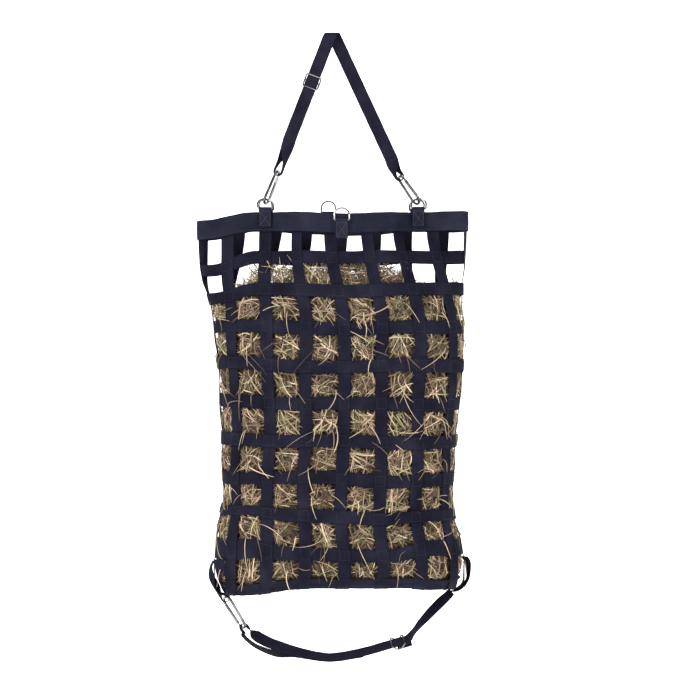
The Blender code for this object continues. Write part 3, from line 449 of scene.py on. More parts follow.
def webbing_material(name, base, dark, light, ribs=11.0, picks=22.0):
    """Flat woven webbing: rows of warp cords crossed by picks, faded and dusty in patches, with painted shade
    in the hollows of the weave and painted light on its raised cords.
    """
    shade = Shade(name, base, 0.72)
    across, along = shade.weave_place()
    cords = shade.math("SINE", shade.math("MULTIPLY", across, ribs * 2 * math.pi))
    lean = shade.math("MULTIPLY", cords, 1.3)
    crossing = shade.math("SINE", shade.math("ADD", shade.math("MULTIPLY", along, picks * 2 * math.pi), lean))
    height = shade.math("MULTIPLY_ADD", crossing, 0.6, cords)
    shade.bump(height, 0.35, 0.00025)
    patches = shade.noise(16.0, 5.0, 0.6)
    tone = shade.ramp(patches, [(0.30, dark), (0.52, base), (0.74, light)])
    # colour scaled by the weave's height: painted shade in its hollows, painted light on the raised cords
    threads = shade.mapped(height, 0.72, 1.22, -1.6, 1.6)
    shade.look({"Base Color": shade.add("VectorMath", {0: tone, "Scale": threads}, operation="SCALE"),
                "Roughness": shade.mapped(patches, 0.62, 0.86), "Specular IOR Level": 0.02,
                "Sheen Weight": 0.01, "Sheen Roughness": 0.45, "Sheen Tint": (0.62, 0.66, 0.90, 1.0)})
    return shade.material


def worn_material(name, base, roughness, worn, metallic=1.0, coat=0.15):
    """Nickel plate, spring steel or thread: fine handling marks and duller patches."""
    shade = Shade(name, base, roughness, metallic)
    marks, cloud = shade.noise(260.0, 4.0, 0.6), shade.noise(42.0, 3.0, 0.5)
    shade.look({"Base Color": shade.ramp(cloud, [(0.35, worn), (0.60, base)]),
                "Roughness": shade.mapped(marks, roughness * 0.7, roughness * 1.5, 0.3, 0.7),
                "Coat Weight": coat, "Coat Roughness": 0.12})
    shade.bump(marks, 0.10, 0.0002)
    return shade.material


def straw_material(name, stops):
    """Dry stems: each has a tone of its own, mottled, in greener and redder patches; the low tones of the
    deeper tangled stems are painted shade.
    """
    shade = Shade(name, stops[1][1], 0.75)
    own_tone, _ = shade.weave_place()
    mottle = shade.noise(90.0, 3.0, 0.6)
    level = shade.math("MULTIPLY_ADD", mottle, 0.35, shade.math("SUBTRACT", own_tone, 0.175))
    tint = shade.ramp(shade.noise(34.0, 2.0, 0.5), [
        (0.36, (1.00, 0.90, 0.86)), (0.50, (1.04, 0.98, 0.84)), (0.64, (0.88, 0.95, 0.74))])
    colour = shade.add("VectorMath", {0: shade.ramp(level, stops), 1: tint}, operation="MULTIPLY")
    shade.look({"Base Color": colour, "Specular IOR Level": 0.35})
    shade.bump(mottle, 0.3, 0.0004)
    return shade.material


WEB_MAT = webbing_material(
    "webbing_navy", (0.0110, 0.0106, 0.0195), (0.0060, 0.0057, 0.0112), (0.0185, 0.0180, 0.0305))
RIM_MAT = webbing_material(
    "rim_binding", (0.0160, 0.0165, 0.0290), (0.0105, 0.0110, 0.0200), (0.0245, 0.0255, 0.0430), 16.0, 30.0)
THREAD_MAT = worn_material("thread", (0.024, 0.024, 0.038), 0.65, (0.015, 0.015, 0.026), 0.0, 0.0)
TAB_THREAD_MAT = worn_material("tab_thread", (0.085, 0.087, 0.120), 0.65, (0.050, 0.050, 0.075), 0.0, 0.0)
NICKEL_MAT = worn_material("nickel_plate", (0.26, 0.245, 0.25), 0.20, (0.11, 0.10, 0.105))
STEEL_MAT = worn_material("spring_wire", (0.22, 0.22, 0.23), 0.30, (0.11, 0.11, 0.12))
# the darkest stops are mostly painted shade, for stems deep in the hay; the rest are the stems' own tones
STRAW_MAT = straw_material("dry_stems", [
    (0.00, (0.020, 0.013, 0.010)), (0.20, (0.062, 0.041, 0.029)), (0.45, (0.185, 0.135, 0.092)),
    (0.70, (0.415, 0.325, 0.235)), (1.00, (0.760, 0.640, 0.500))])
# near-black hay: painted shade for the depths of the hay behind the loose stems
CORE_SHADE_MAT = straw_material("hay_core_painted_shade", [
    (0.00, (0.012, 0.007, 0.005)), (0.40, (0.030, 0.019, 0.012)), (0.75, (0.070, 0.046, 0.027)),
    (1.00, (0.13, 0.088, 0.052))])


# ---------------------------------------------------------------- net
def bag_strap(name, lefts, rights, stands_for, material=WEB_MAT, **shape):
    """A strap of the bag, in the place of one CAD node."""
    finish_piece(webbing(name, lefts, rights, **shape), material, "bag", [stands_for])


def hoop_edges(z, half, offset, steps):
    s = np.arange(steps) * STRAPS_AROUND / steps
    turn = s * 2 * np.pi / STRAPS_AROUND
    wave = 0.0009 * np.sin(turn * 3 + z * 40) + 0.0007 * np.sin(turn * 7 + z * 91)
    return BAG.at(s, z + half + wave, offset), BAG.at(s, z - half + wave, offset)


def between_straps(s):
    """0 on a strap, 1 half way between two."""
    return (1 - np.cos(2 * np.pi * s)) / 2


def make_net():
    steps = 640
    s = np.arange(steps) * STRAPS_AROUND / steps
    for row, z in enumerate(ROW_ZS, start=1):
        sign = -1.0 if row % 2 else 1.0
        slack = -sign * 0.0006 * between_straps(s)
        upper, lower = hoop_edges(z, WEB / 2, WEAVE_REST + sign * WEAVE_LIFT + slack, steps)
        bag_strap(f"woven_hoop_{row}", warp(upper), warp(lower), f"hoop_{row}", closed=True, cup=0.0003)
    upper, lower = (warp(BAG.at_base(s, math.radians(angle), BASE_HOOP_EXTRA)) for angle in BASE_HOOP_SEEN)
    bag_strap("woven_base_hoop", upper, lower, f"hoop_{ROWS + 1}", closed=True)


def make_rim():
    upper, lower = hoop_edges(RIM_Z, RIM_HEIGHT / 2, LAYER + (RIM_THICK - THICK) / 2, 960)
    bag_strap("rim_binding_band", upper, lower, "rim_band", RIM_MAT,
              thickness=RIM_THICK, closed=True, cup=0.0005, ripple=0.0002)


def upright_heights(top):
    return np.arange(top, FOOT_Z, -0.005)


def under_bag(start, end, run, fall, bend, turn_points, flat_points):
    """A strap's line under the bag: down from start, round a bend, along, and up to end the same way."""
    angles = np.radians(np.linspace(0, 90, turn_points))
    turns = []
    for foot, way in ((start, run), (end, -run)):
        turn = foot + way * bend * (1 - np.cos(angles))[:, None]
        turn[:, 2] -= fall - bend + bend * np.sin(angles)
        turns.append(turn)
    first, second = turns
    flat = np.linspace(first[-1], second[-1], flat_points)[1:-1]
    return np.vstack([first, flat, second[::-1]])


def upright_edge(s_front, s_back, wave):
    zs = upright_heights(RIM_Z)
    offset = WEAVE_REST + WEAVE_LIFT * row_sign(zs)
    offset = np.where(zs > RIM_Z - RIM_HEIGHT / 2 - 0.012, np.minimum(offset, 0.0), offset)
    front, back = BAG.at(s_front + wave(zs), zs, offset), BAG.at(s_back - wave(zs), zs, offset)
    start, end = BAG.at(s_front, FOOT_Z, 0.0), BAG.at(s_back, FOOT_Z, 0.0)
    run = (end - start) / np.linalg.norm(end - start)
    under = under_bag(start, end, run, FOOT_RADIUS, FOOT_RADIUS, 15, 24)
    return warp(np.vstack([front, under, back[::-1]]))


def make_uprights():
    for k, letter in zip(range(-3, 4), "abcdefg"):
        phase = RNG.uniform(0, 6.28, 2)

        def wave(zs):
            fade = smoothstep((-0.42 - zs) / 0.06) * smoothstep((zs + 1.04) / 0.06)
            return fade * (0.020 * np.sin(zs * 14 + phase[0]) + 0.012 * np.sin(zs * 33 + phase[1]))

        back = STRAPS_AROUND / 2 - k
        lefts = upright_edge(k - HALF_WEB_S, back + HALF_WEB_S, wave)
        rights = upright_edge(k + HALF_WEB_S, back - HALF_WEB_S, wave)
        bag_strap(f"woven_strap_{letter}", lefts, rights, f"long_strap_{letter}", cup=0.0003)


def side_edge(s_left, s_right):
    level = 0.0012
    zs = upright_heights(RIM_Z - RIM_HEIGHT / 2 + 0.006)
    offset = np.where(zs > -0.46, level, level + (WEAVE_REST + WEAVE_LIFT * row_sign(zs) - level)
                      * smoothstep((-0.46 - zs) / 0.05))
    left, right = BAG.at(s_left, zs, offset), BAG.at(s_right, zs, offset)
    start, end = BAG.at(s_left, FOOT_Z, level), BAG.at(s_right, FOOT_Z, level)
    under = under_bag(start, end, np.array([1.0, 0.0, 0.0]), FOOT_RADIUS + LAYER, SIDE_BEND, 12, 60)
    return warp(np.vstack([left, start, under, end, right[::-1]]))


def make_side_strap():
    quarter = STRAPS_AROUND / 4
    bag_strap("woven_side_strap", side_edge(-quarter - HALF_WEB_S, quarter + HALF_WEB_S),
              side_edge(-quarter + HALF_WEB_S, quarter - HALF_WEB_S), "side_strap", cup=0.0003)


def surface_line(ss, zs, offset):
    """A line on the bag with its outward normals."""
    line, out = warp(BAG.at(ss, zs, offset)), warp(BAG.at(ss, zs, offset + 0.002))
    return line, out - line


BOX = [(-1, 1), (1, 1), (1, -1), (-1, -1), (-1, 1)]
BOX_SHARE = 0.74    # of the webbing's width


def make_net_stitching():
    top = WEAVE_REST + WEAVE_LIFT + THICK / 2 + 0.0003 + STITCH_R * 0.4
    ds, dz = HALF_WEB_S * BOX_SHARE, WEB / 2 * BOX_SHARE
    lines = [surface_line(k + ds * np.linspace(a, c, 5), z + dz * np.linspace(b, d, 5), top)
             for z in ROW_ZS for k in range(STRAPS_AROUND) for (a, b), (c, d) in zip(BOX[:-1], BOX[1:])]
    sew("crossing_stitches", lines, THREAD_MAT)
    rim_out = LAYER + RIM_THICK - THICK / 2 + 0.0002
    from_middle = RIM_HEIGHT / 2 - 0.0035
    s = np.linspace(0, STRAPS_AROUND, 900)
    lines = [surface_line(s, RIM_Z + dz, rim_out + 0.0001) for dz in (from_middle, -from_middle)]
    sew("rim_stitches", lines, THREAD_MAT, pitch=0.0034)


# ---------------------------------------------------------------- hay
def window_share(s, z):
    """1 in the middle of an opening, 0 under the webbing."""
    across = np.abs((s - np.floor(s)) - 0.5)
    side = smoothstep((0.5 - HALF_WEB_S - across) / 0.12)
    rows = np.array(ROW_ZS)
    nearest = np.abs(z[..., None] - rows).min(axis=-1)
    above_base_hoop = smoothstep((z - FOOT_Z + 0.030) / 0.009)
    return side * smoothstep((nearest - WEB / 2) / 0.009) * above_base_hoop


def make_core():
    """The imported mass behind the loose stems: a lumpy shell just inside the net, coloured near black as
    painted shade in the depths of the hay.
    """
    around = 320
    levels = [(HAY_TOP_Z - d, i) for d, i in ((0.0, 0.090), (0.002, 0.074), (0.006, 0.058), (0.013, 0.044),
                                              (0.024, 0.031), (0.038, 0.021), (0.056, 0.013))]
    levels += [(z, 0.0105) for z in np.arange(HAY_TOP_Z - 0.070, FOOT_Z, -0.008)]
    s = np.arange(around) * STRAPS_AROUND / around
    rings = []
    for z, inset in levels:
        lump = 0.0030 * np.sin(s * 5.1 + z * 63) * np.sin(s * 2.3 - z * 95)
        lump = lump + RNG.uniform(-0.0015, 0.0015, around)
        ring = BAG.at(s, z, -inset - 0.002 + lump)
        ring[:, 2] = z
        rings.append(warp(ring))
    for angle in np.radians(np.arange(0, 91, 7.5)):
        lump = RNG.uniform(-0.0015, 0.0015, around)
        rings.append(warp(BAG.at_base(s, angle, -0.0105 + 0.0060 * math.sin(angle) + lump)))
    points = np.vstack(rings)
    n = len(rings)
    faces = tube_faces(n, around)[..., [0, 3, 2, 1]].reshape(-1, 4).tolist()
    top, bottom = points[:around].mean(axis=0), points[-around:].mean(axis=0)
    points = np.vstack([points, top, bottom])
    last = (n - 1) * around
    faces += [[n * around, k, (k + 1) % around] for k in range(around)]
    faces += [[n * around + 1, last + (k + 1) % around, last + k] for k in range(around)]
    tone = RNG.uniform(0.15, 0.85, len(points))
    uvs = np.stack([tone, np.zeros(len(points))], axis=1)
    obj = mesh_object("hay_mass", points, faces, uvs)
    return finish_piece(obj, CORE_SHADE_MAT, "bag", ["hay_fill"])


def straw_mesh(name, paths, radii, tones, sides=4):
    """Many tapered stems as one mesh. paths is (stems, points, 3)."""
    n, m = paths.shape[:2]
    along = np.gradient(paths, axis=1)
    along /= np.linalg.norm(along, axis=2, keepdims=True) + 1e-9
    ref = RNG.normal(size=(n, 1, 3))
    side = np.cross(along, np.broadcast_to(ref, along.shape))
    side /= np.linalg.norm(side, axis=2, keepdims=True) + 1e-9
    other = np.cross(along, side)
    taper = np.interp(np.linspace(0, 1, m), [0, 0.12, 0.6, 1.0], [0.75, 1.0, 0.85, 0.30])
    size = radii[:, None] * taper[None, :]
    flat = RNG.uniform(0.45, 1.0, n)[:, None]
    rings = []
    for k in range(sides):
        angle = 2 * np.pi * k / sides
        rings.append(paths + side * (size * math.cos(angle))[..., None]
                     + other * (size * flat * math.sin(angle))[..., None])
    points = np.stack(rings, axis=2).reshape(-1, 3)
    stems = np.arange(n)[:, None] * m * sides
    quads = (stems[..., None, None] + tube_faces(m, sides)).reshape(-1, 4)
    around = np.arange(sides)[None, :]
    faces = np.vstack([quads, stems + around[:, ::-1], stems + (m - 1) * sides + around])
    along_stem = np.tile(np.repeat(np.linspace(0, 1, m), sides), n)
    uvs = np.stack([np.repeat(tones, m * sides), along_stem], axis=1)
    obj = mesh_object(name, points, faces, uvs)
    return finish_piece(obj, STRAW_MAT, "bag")


STRAY = 0.014    # how far a stem may stand outside the CAD's box
LIMIT_LO, LIMIT_HI = np.array(CAD_BOX[0]) - STRAY, np.array(CAD_BOX[1]) + STRAY


def limited(paths):
    """Stems that would stand out too far are bent back to just inside the limit."""
    soft = 0.006
    for axis in (0, 1):
        hi, lo = LIMIT_HI[axis] - soft, LIMIT_LO[axis] + soft
        v = paths[..., axis]
        v = np.where(v > hi, hi + soft * np.tanh((v - hi) / soft), v)
        paths[..., axis] = np.where(v < lo, lo - soft * np.tanh((lo - v) / soft), v)
    return paths


def random_windows(count, z_from, z_to):
    """Random places in the openings between z_from and z_to."""
    s, z = np.zeros(0), np.zeros(0)
    while len(s) < count:
        ts, tz = RNG.uniform(0, STRAPS_AROUND, count * 3), RNG.uniform(z_to, z_from, count * 3)
        keep = window_share(ts, tz) > RNG.uniform(0.02, 0.7, count * 3)
        s, z = np.concatenate([s, ts[keep]]), np.concatenate([z, tz[keep]])
    return s[:count], z[:count]


def at_ends(s):
    """1 round the two narrow ends of the bag, 0 on its faces."""
    from_face = np.abs((s + STRAPS_AROUND / 4) % (STRAPS_AROUND / 2) - STRAPS_AROUND / 4)
    return smoothstep((from_face - 3.0) / 0.5)


def curled(s0, z0, length, heading, bend, t, sag=0.0):
    """Pitches round and heights along stems that start at s0, z0 and curl and sag as t grows."""
    turn = heading[:, None] + bend[:, None] * t
    ds = length[:, None] * t * np.cos(turn)
    dz = length[:, None] * t * np.sin(turn) - sag * t ** 2
    return s0[:, None] + ds / PITCH, z0[:, None] + dz


def tangled(count, z_from, z_to, segments=6):
    """Stems that lie along the hay's surface and belly out of the openings."""
    s0, z0 = random_windows(count, z_from, z_to)
    length = RNG.gamma(4.0, 0.012, count).clip(0.020, 0.095)
    heading = RNG.uniform(0, 2 * np.pi, count)
    bend = RNG.normal(0, 0.40, count)
    t = np.linspace(-0.5, 0.5, segments)[None, :]
    s, z = curled(s0, z0, length, heading, bend, t)
    belly = RNG.uniform(0.0, 0.0075, count)[:, None] * (1 - 0.6 * at_ends(s))
    depth = RNG.uniform(0.0046, 0.0120, count)[:, None]
    offset = -depth + belly * window_share(s, z) + RNG.normal(0, 0.0007, s.shape)
    floor = np.maximum(z, FOOT_Z)
    points = BAG.at(s, floor, offset)
    under = np.clip((FOOT_Z - z) / FOOT_RADIUS, 0, 1.5)
    below = BAG.at_base(s, under, offset)
    points = warp(np.where((z < FOOT_Z)[..., None], below, points))
    radii = RNG.gamma(5.0, 0.00020, count).clip(0.0005, 0.0018)
    # deeper stems get darker tones: painted shade inside the hay, on top of each stem's own random tone
    tones = RNG.beta(1.35, 1.35, count) * (0.10 + 0.98 * smoothstep((0.0115 - depth[:, 0]) / 0.006))
    return limited(points), radii, tones


def poking(count, z_from, z_to, segments, reach, lift):
    """Stems pulled out through the openings, which hang and curl in front of the webbing."""
    s0, z0 = random_windows(count, z_from, z_to)
    length = RNG.uniform(*reach, count)
    heading = np.where(RNG.uniform(size=count) < 0.6, RNG.normal(-np.pi / 2, 0.8, count),
                       RNG.uniform(0, 2 * np.pi, count))
    bend = RNG.normal(0, 0.45, count)
    t = np.linspace(0.0, 1.0, segments)[None, :]
    s, z = curled(s0, z0, length, heading, bend, t, 0.010)
    rise = RNG.uniform(*lift, count)[:, None]
    flick = 0.010 * RNG.uniform(-0.5, 1.0, (count, 1)) * t ** 2
    offset = -0.006 + (rise + 0.006) * (1 - np.exp(-5.5 * t)) + flick
    offset = np.maximum(offset * (1 - 0.6 * at_ends(s)), np.where(t > 0.35, 0.0022, -0.010))
    points = BAG.at(s, np.maximum(z, FOOT_Z), offset)
    drop = np.minimum(z - FOOT_Z, 0.0)
    points = warp(points)
    points[..., 2] += drop
    radii = RNG.uniform(0.00050, 0.00120, count)
    tones = RNG.beta(3.0, 1.8, count)
    return limited(points), radii, tones


def heaped(count, segments=7):
    """Loose stems on top of the hay, thinner towards the ends of the mouth."""
    s = RNG.uniform(0, STRAPS_AROUND, count)
    inset = RNG.uniform(0.004, 0.075, count)
    base = BAG.at(s, HAY_TOP_Z - 0.010 * RNG.uniform(0, 1, count), -inset)
    thin = smoothstep((0.196 - np.abs(base[:, 0] + 0.008)) / 0.070)
    keep = RNG.uniform(size=count) < 0.10 + 0.90 * thin
    base, thin = base[keep], thin[keep]
    n = len(base)
    heap = thin * 0.050 * RNG.uniform(0, 1, n) ** 1.4
    base[:, 2] = HAY_TOP_Z - 0.012 + heap - (1 - thin) * RNG.uniform(0, 0.03, n)
    heading = RNG.uniform(0, 2 * np.pi, n)
    length = RNG.uniform(0.025, 0.085, n)
    climb = RNG.normal(0.20, 0.75, n)
    level = np.cos(climb)
    direction = np.stack([np.cos(heading) * level, np.sin(heading) * level * 0.45, np.sin(climb)], 1)
    curve = RNG.normal(0, 0.25, (n, 3))
    curve[:, 2] -= 0.2
    t = np.linspace(-0.5, 0.5, segments)[None, :, None]
    points = direction[:, None, :] * t + curve[:, None, :] * t ** 2
    points = base[:, None, :] + length[:, None, None] * points
    # the net holds the stems in
    half_depth = 0.055 + 0.05 * smoothstep((-0.42 - points[..., 2]) / 0.10)
    wide = 1 - smoothstep((np.abs(points[..., 0] - 0.018) - 0.04) / 0.26) * 0.75
    reach = half_depth * wide
    points[..., 1] = reach * np.tanh(points[..., 1] / reach)
    points[..., 0] = np.clip(points[..., 0], -0.235, 0.245)
    return points, RNG.uniform(0.00050, 0.00125, n), RNG.beta(2.4, 1.8, n)


def make_hay():
    make_core()
    for i in range(TANGLES):
        straw_mesh(f"hay_tangle_{i + 1}", *tangled(TANGLED_STEMS, HAY_TOP_Z + 0.004, FOOT_Z - 0.035))
    straw_mesh("hay_heap", *heaped(HEAPED_STEMS))
    pulled = poking(PULLED_STEMS, HAY_TOP_Z - 0.005, FOOT_Z - 0.020, 7, (0.012, 0.040), (0.003, 0.011))
    straw_mesh("hay_pulled_out", *pulled)
    straw_mesh("hay_wisps", *poking(WISPS, HAY_TOP_Z - 0.005, FOOT_Z, 10, (0.040, 0.085), (0.006, 0.014)))


make_net()
make_rim()
make_uprights()
make_side_strap()
make_net_stitching()
make_hay()


# ---------------------------------------------------------------- frames of the rings, snaps and sliders
def surface_point(s, z, offset=0.0):
    return Vector(BAG.at(float(s), float(z), float(offset)).reshape(3))


def placed(origin, x, y, z):
    """Frame with the given origin and axes."""
    return Matrix.Translation(origin) @ Matrix((x, y, z)).transposed().to_4x4()


def facing(s, z, offset):
    """Frame on the rim: X along the band, Y into the bag, Z up."""
    side = surface_point(s + 0.1, z) - surface_point(s - 0.1, z)
    side.z = 0.0
    side.normalize()
    return placed(surface_point(s, z, offset), side, UP.cross(side), UP)


def s_at(x, z, front):
    """Pitches round the bag to the place at x on its front or its back."""
    lo, hi = (-4.0, 4.0) if front else (12.0, 4.0)
    for _ in range(40):
        middle = (lo + hi) / 2
        if surface_point(middle, z).x < x:
            lo = middle
        else:
            hi = middle
    return (lo + hi) / 2


def bar_frame(x, front):
    """Frame of a ring's bar, outside the band and clear of it."""
    band = LAYER + RIM_THICK - THICK / 2
    s = s_at(x, RIM_Z, front)
    here = facing(s, RIM_Z, 0.0)
    half_s = TAB_WIDTH / 2 / PITCH
    proud = max(-(here.inverted() @ surface_point(s + half_s * i / 4, RIM_Z, band)).y for i in range(-5, 6))
    return facing(s, RIM_Z, proud + TAB_CLEAR + TAB_INNER_R + TAB_THICK / 2)


def snap_frame(eye, far, twist):
    up = -(far - eye).normalized()
    side = BACK.cross(up).normalized()
    return placed(eye, side, up.cross(side), up) @ Matrix.Rotation(math.radians(twist), 4, "Z")


def bend_point(eye, far, twist, y):
    """The place on the wire of a snap's large bend that lies nearest to a depth y."""
    here = snap_frame(eye, far, twist)
    centre = Vector((0, 0, -(far - eye).length + SNAP_LARGE_R))
    points = []
    for i in range(-40, 41):
        angle = math.radians(-90 + i * 1.5)
        points.append(here @ (centre + SNAP_LARGE_R * Vector((math.cos(angle), 0, math.sin(angle)))))
    return min(points, key=lambda point: abs(point.y - y))


def tab_frames():
    found = []
    for side, eye, far, twist in (("left", LEFT_EYE, LEFT_RINGS, LEFT_TWIST),
                                  ("right", RIGHT_EYE, RIGHT_RINGS, RIGHT_TWIST)):
        for face, front in (("front", True), ("back", False)):
            on_wire = bend_point(eye, far, twist, -RING_APEX_Y if front else RING_APEX_Y)
            here = bar_frame(on_wire.x, front)
            lean_in = math.asin((abs(here.translation.y) - RING_APEX_Y) / RING_HEIGHT)
            here.translation.z = on_wire.z + RING_ON_WIRE - RING_HEIGHT * math.cos(lean_in)
            found.append((f"{side}_{face}", here))
    for name, x, front, bar_z in RINGS_FREE:
        here = bar_frame(x, front)
        here.translation.z = bar_z
        found.append((name, here))
    return found


def make_tabs():
    """Webbing folded over each ring's bar and sewn to the rim with a boxed cross."""
    lines = []
    for name, here in tab_frames():
        path = [Vector((0, TAB_INNER_R, -TAB_REACH)), Vector((0, TAB_INNER_R, -TAB_REACH / 2))]
        for i in range(13):
            angle = math.pi * i / 12
            path.append(Vector((0, TAB_INNER_R * math.cos(angle), TAB_INNER_R * math.sin(angle))))
        path += [Vector((0, -TAB_INNER_R, -TAB_REACH / 2)), Vector((0, -TAB_INNER_R, -TAB_REACH))]
        half = TAB_WIDTH / 2
        rows = [Vector(p) for p in spline_through([[*p] for p in path], 0.0008)]
        lefts, rights = ([tuple(here @ (p + Vector((x, 0, 0)))) for p in rows] for x in (-half, half))
        bag_strap(f"{name}_tab_webbing", lefts, rights, f"{name}_tab", RIM_MAT,
                  thickness=TAB_THICK, ripple=0.00004)
        face_y = -TAB_INNER_R - TAB_THICK / 2 - 0.0001
        out = tuple(here.to_3x3() @ FRONT)
        x, top, low = half * 0.80, -0.0050, -TAB_REACH + 0.0018
        corners = [(-x, top), (x, top), (x, low), (-x, low), (-x, top)]
        runs = list(zip(corners[:-1], corners[1:])) + [((-x, top), (x, low)), ((x, top), (-x, low))]
        for (a, b), (c, d) in runs:
            line = [Vector((a + (c - a) * t, face_y, b + (d - b) * t)) for t in np.linspace(0, 1, 4)]
            lines.append(([tuple(here @ p) for p in line], [out] * 4))
    sew("tab_stitches", lines, TAB_THREAD_MAT, pitch=0.0026, radius=0.00026)


# ---------------------------------------------------------------- straps that end in a snap's eye
class Path:
    """A strap's middle line with its width direction and width at each point."""

    def __init__(self):
        self.rows = []

    def add(self, point, across, width=WEB):
        self.rows.append([*point, *Vector(across).normalized(), width])

    def extend(self, other, backwards=False):
        self.rows += other.rows[::-1] if backwards else other.rows

    def upto(self, index):
        part = Path()
        part.rows = self.rows[:index + 1]
        return part

    def after(self, index):
        part = Path()
        here, ahead = Vector(self.rows[index][:3]), Vector(self.rows[index + 1][:3])
        start = here + (ahead - here).normalized() * GAP * 1.25
        part.rows = [[*start, *self.rows[index][3:]]] + self.rows[index + 1:]
        return part

    def build(self, name, body, replaced, step=0.003, cup=0.0002):
        aligned = [list(self.rows[0])]
        for row in self.rows[1:]:
            row = list(row)
            if np.dot(row[3:6], aligned[-1][3:6]) < 0:
                row[3:6] = [-c for c in row[3:6]]
            aligned.append(row)
        rows = spline_through(aligned, step)
        across = rows[:, 3:6] / np.linalg.norm(rows[:, 3:6], axis=1)[:, None]
        half = across * rows[:, 6:7] / 2
        obj = webbing(name, rows[:, :3] - half, rows[:, :3] + half, cup=cup, ripple=0.00008)
        return finish_piece(obj, WEB_MAT, body, replaced)


def eye_loop_radius(bend=SNAP_SMALL_R, width=EYE_WIDTH, slack=EYE_SLACK):
    inside = bend - SNAP_WIRE - GAP
    return bend + THICK / 2 - math.sqrt(inside ** 2 - (width / 2) ** 2) + slack


def turned_about(vector, axis, angle):
    return Matrix.Rotation(angle, 3, axis) @ vector


def ply_path(eye, snap_up, up, eye_across, end_across, end_out, side, length, steps=5):
    """One ply of a strap that rises from the wire in a snap's eye and turns into its final plane."""
    loop_r = eye_loop_radius()
    start = eye_across.normalized()
    out = start.cross(snap_up)
    goal = (end_across - up * end_across.dot(up)).normalized()
    level = (start - up * start.dot(up)).normalized()
    angle = math.atan2(level.cross(goal).dot(up), level.dot(goal))
    if abs(angle) > math.pi / 2:
        angle -= math.copysign(math.pi, angle)
    flip = 1.0 if turned_about(level.cross(up), up, angle).dot(end_out) > 0 else -1.0
    path = Path()
    for i in range(1, steps + 1):
        share = i / steps
        ease = float(smoothstep(share))
        rise = snap_up.lerp(up, min(1.0, share * 1.5)).normalized()
        here = (start - rise * start.dot(rise)).normalized()
        across = turned_about(here, rise, angle * ease)
        apart = loop_r + (PLY - loop_r) * ease
        centre = eye + (snap_up * (1 - share) + up * share).normalized() * length * share
        width = EYE_WIDTH + (WEB - EYE_WIDTH) * float(smoothstep(share * 1.3))
        path.add(centre + across.cross(rise) * flip * side * apart, across, width)
    return path, out * flip * side


def eye_path(eye, up, eye_across, out, bend=SNAP_SMALL_R, width=EYE_WIDTH, slack=EYE_SLACK):
    loop_r = eye_loop_radius(bend, width, slack)
    start = (eye_across - up * eye_across.dot(up)).normalized()
    path = Path()
    for i in range(7):
        angle = math.pi * i / 6
        ring = out * math.cos(angle) * loop_r - up * math.sin(angle) * loop_r
        path.add(eye + ring, start, width)
    return path


def strap_from_eye(ends, side, reach, steps, turned_in):
    """A strap that starts behind a snap's eye, rounds the wire and rises, with its two plies there."""
    eye, snap_up, _, eye_across = ends[:4]
    main, out = ply_path(*ends, side, reach, steps)
    behind, _ = ply_path(*ends, -side, reach, steps)
    strap = Path()
    strap.extend(behind.upto(turned_in), backwards=True)
    strap.extend(eye_path(eye, snap_up, eye_across, out), backwards=True)
    strap.extend(main)
    return strap, main, behind


def local_x(matrix):
    return matrix.to_3x3().col[0].normalized()


def eye_directions(eye, far, twist):
    """Up along a snap from its far end, and across the webbing in its eye."""
    return (eye - far).normalized(), local_x(snap_frame(eye, far, twist))


def slider_frame_at(point, up, across, front):
    front = front.normalized()
    stand_off = THICK / 2 + GAP + SLIDER_WIRE
    return placed(point + front * stand_off, across.normalized(), -front, up.normalized())


def make_slider_loop(prefix, matrix, body):
    """The sewn end of the return run, folded round the slider's middle bar."""
    radius = SLIDER_WIRE * 0.95 + GAP + THICK / 2
    path = [Vector((0, -radius, -0.0060))]
    for i in range(9):
        angle = math.pi * i / 8
        path.append(Vector((0, -radius * math.cos(angle), radius * math.sin(angle))))
    path += [Vector((0, radius * 0.95, -0.0100)), Vector((0, radius * 0.8, -0.0260))]
    strap = Path()
    for p in path:
        strap.add(matrix @ (p + Vector((0, SLIDER_SET_BACK, 0))), local_x(matrix))
    strap.build(f"{prefix}_slider_fold", body, [f"{prefix}_slider_loop"], step=0.001, cup=0.0)
    lines, out = [], tuple(matrix.to_3x3() @ BACK)
    on_face = SLIDER_SET_BACK + radius * 0.9 + THICK / 2 + 0.0001
    for z, lower in ((-0.0120, 0.0), (-0.0145, 0.0), (-0.0230, 0.0006)):
        line = [tuple(matrix @ Vector((x, on_face - lower, z))) for x in np.linspace(-0.010, 0.010, 6)]
        lines.append((line, [out] * 6))
    sew(f"{prefix}_slider_bartack", lines, THREAD_MAT, body, pitch=0.0024)


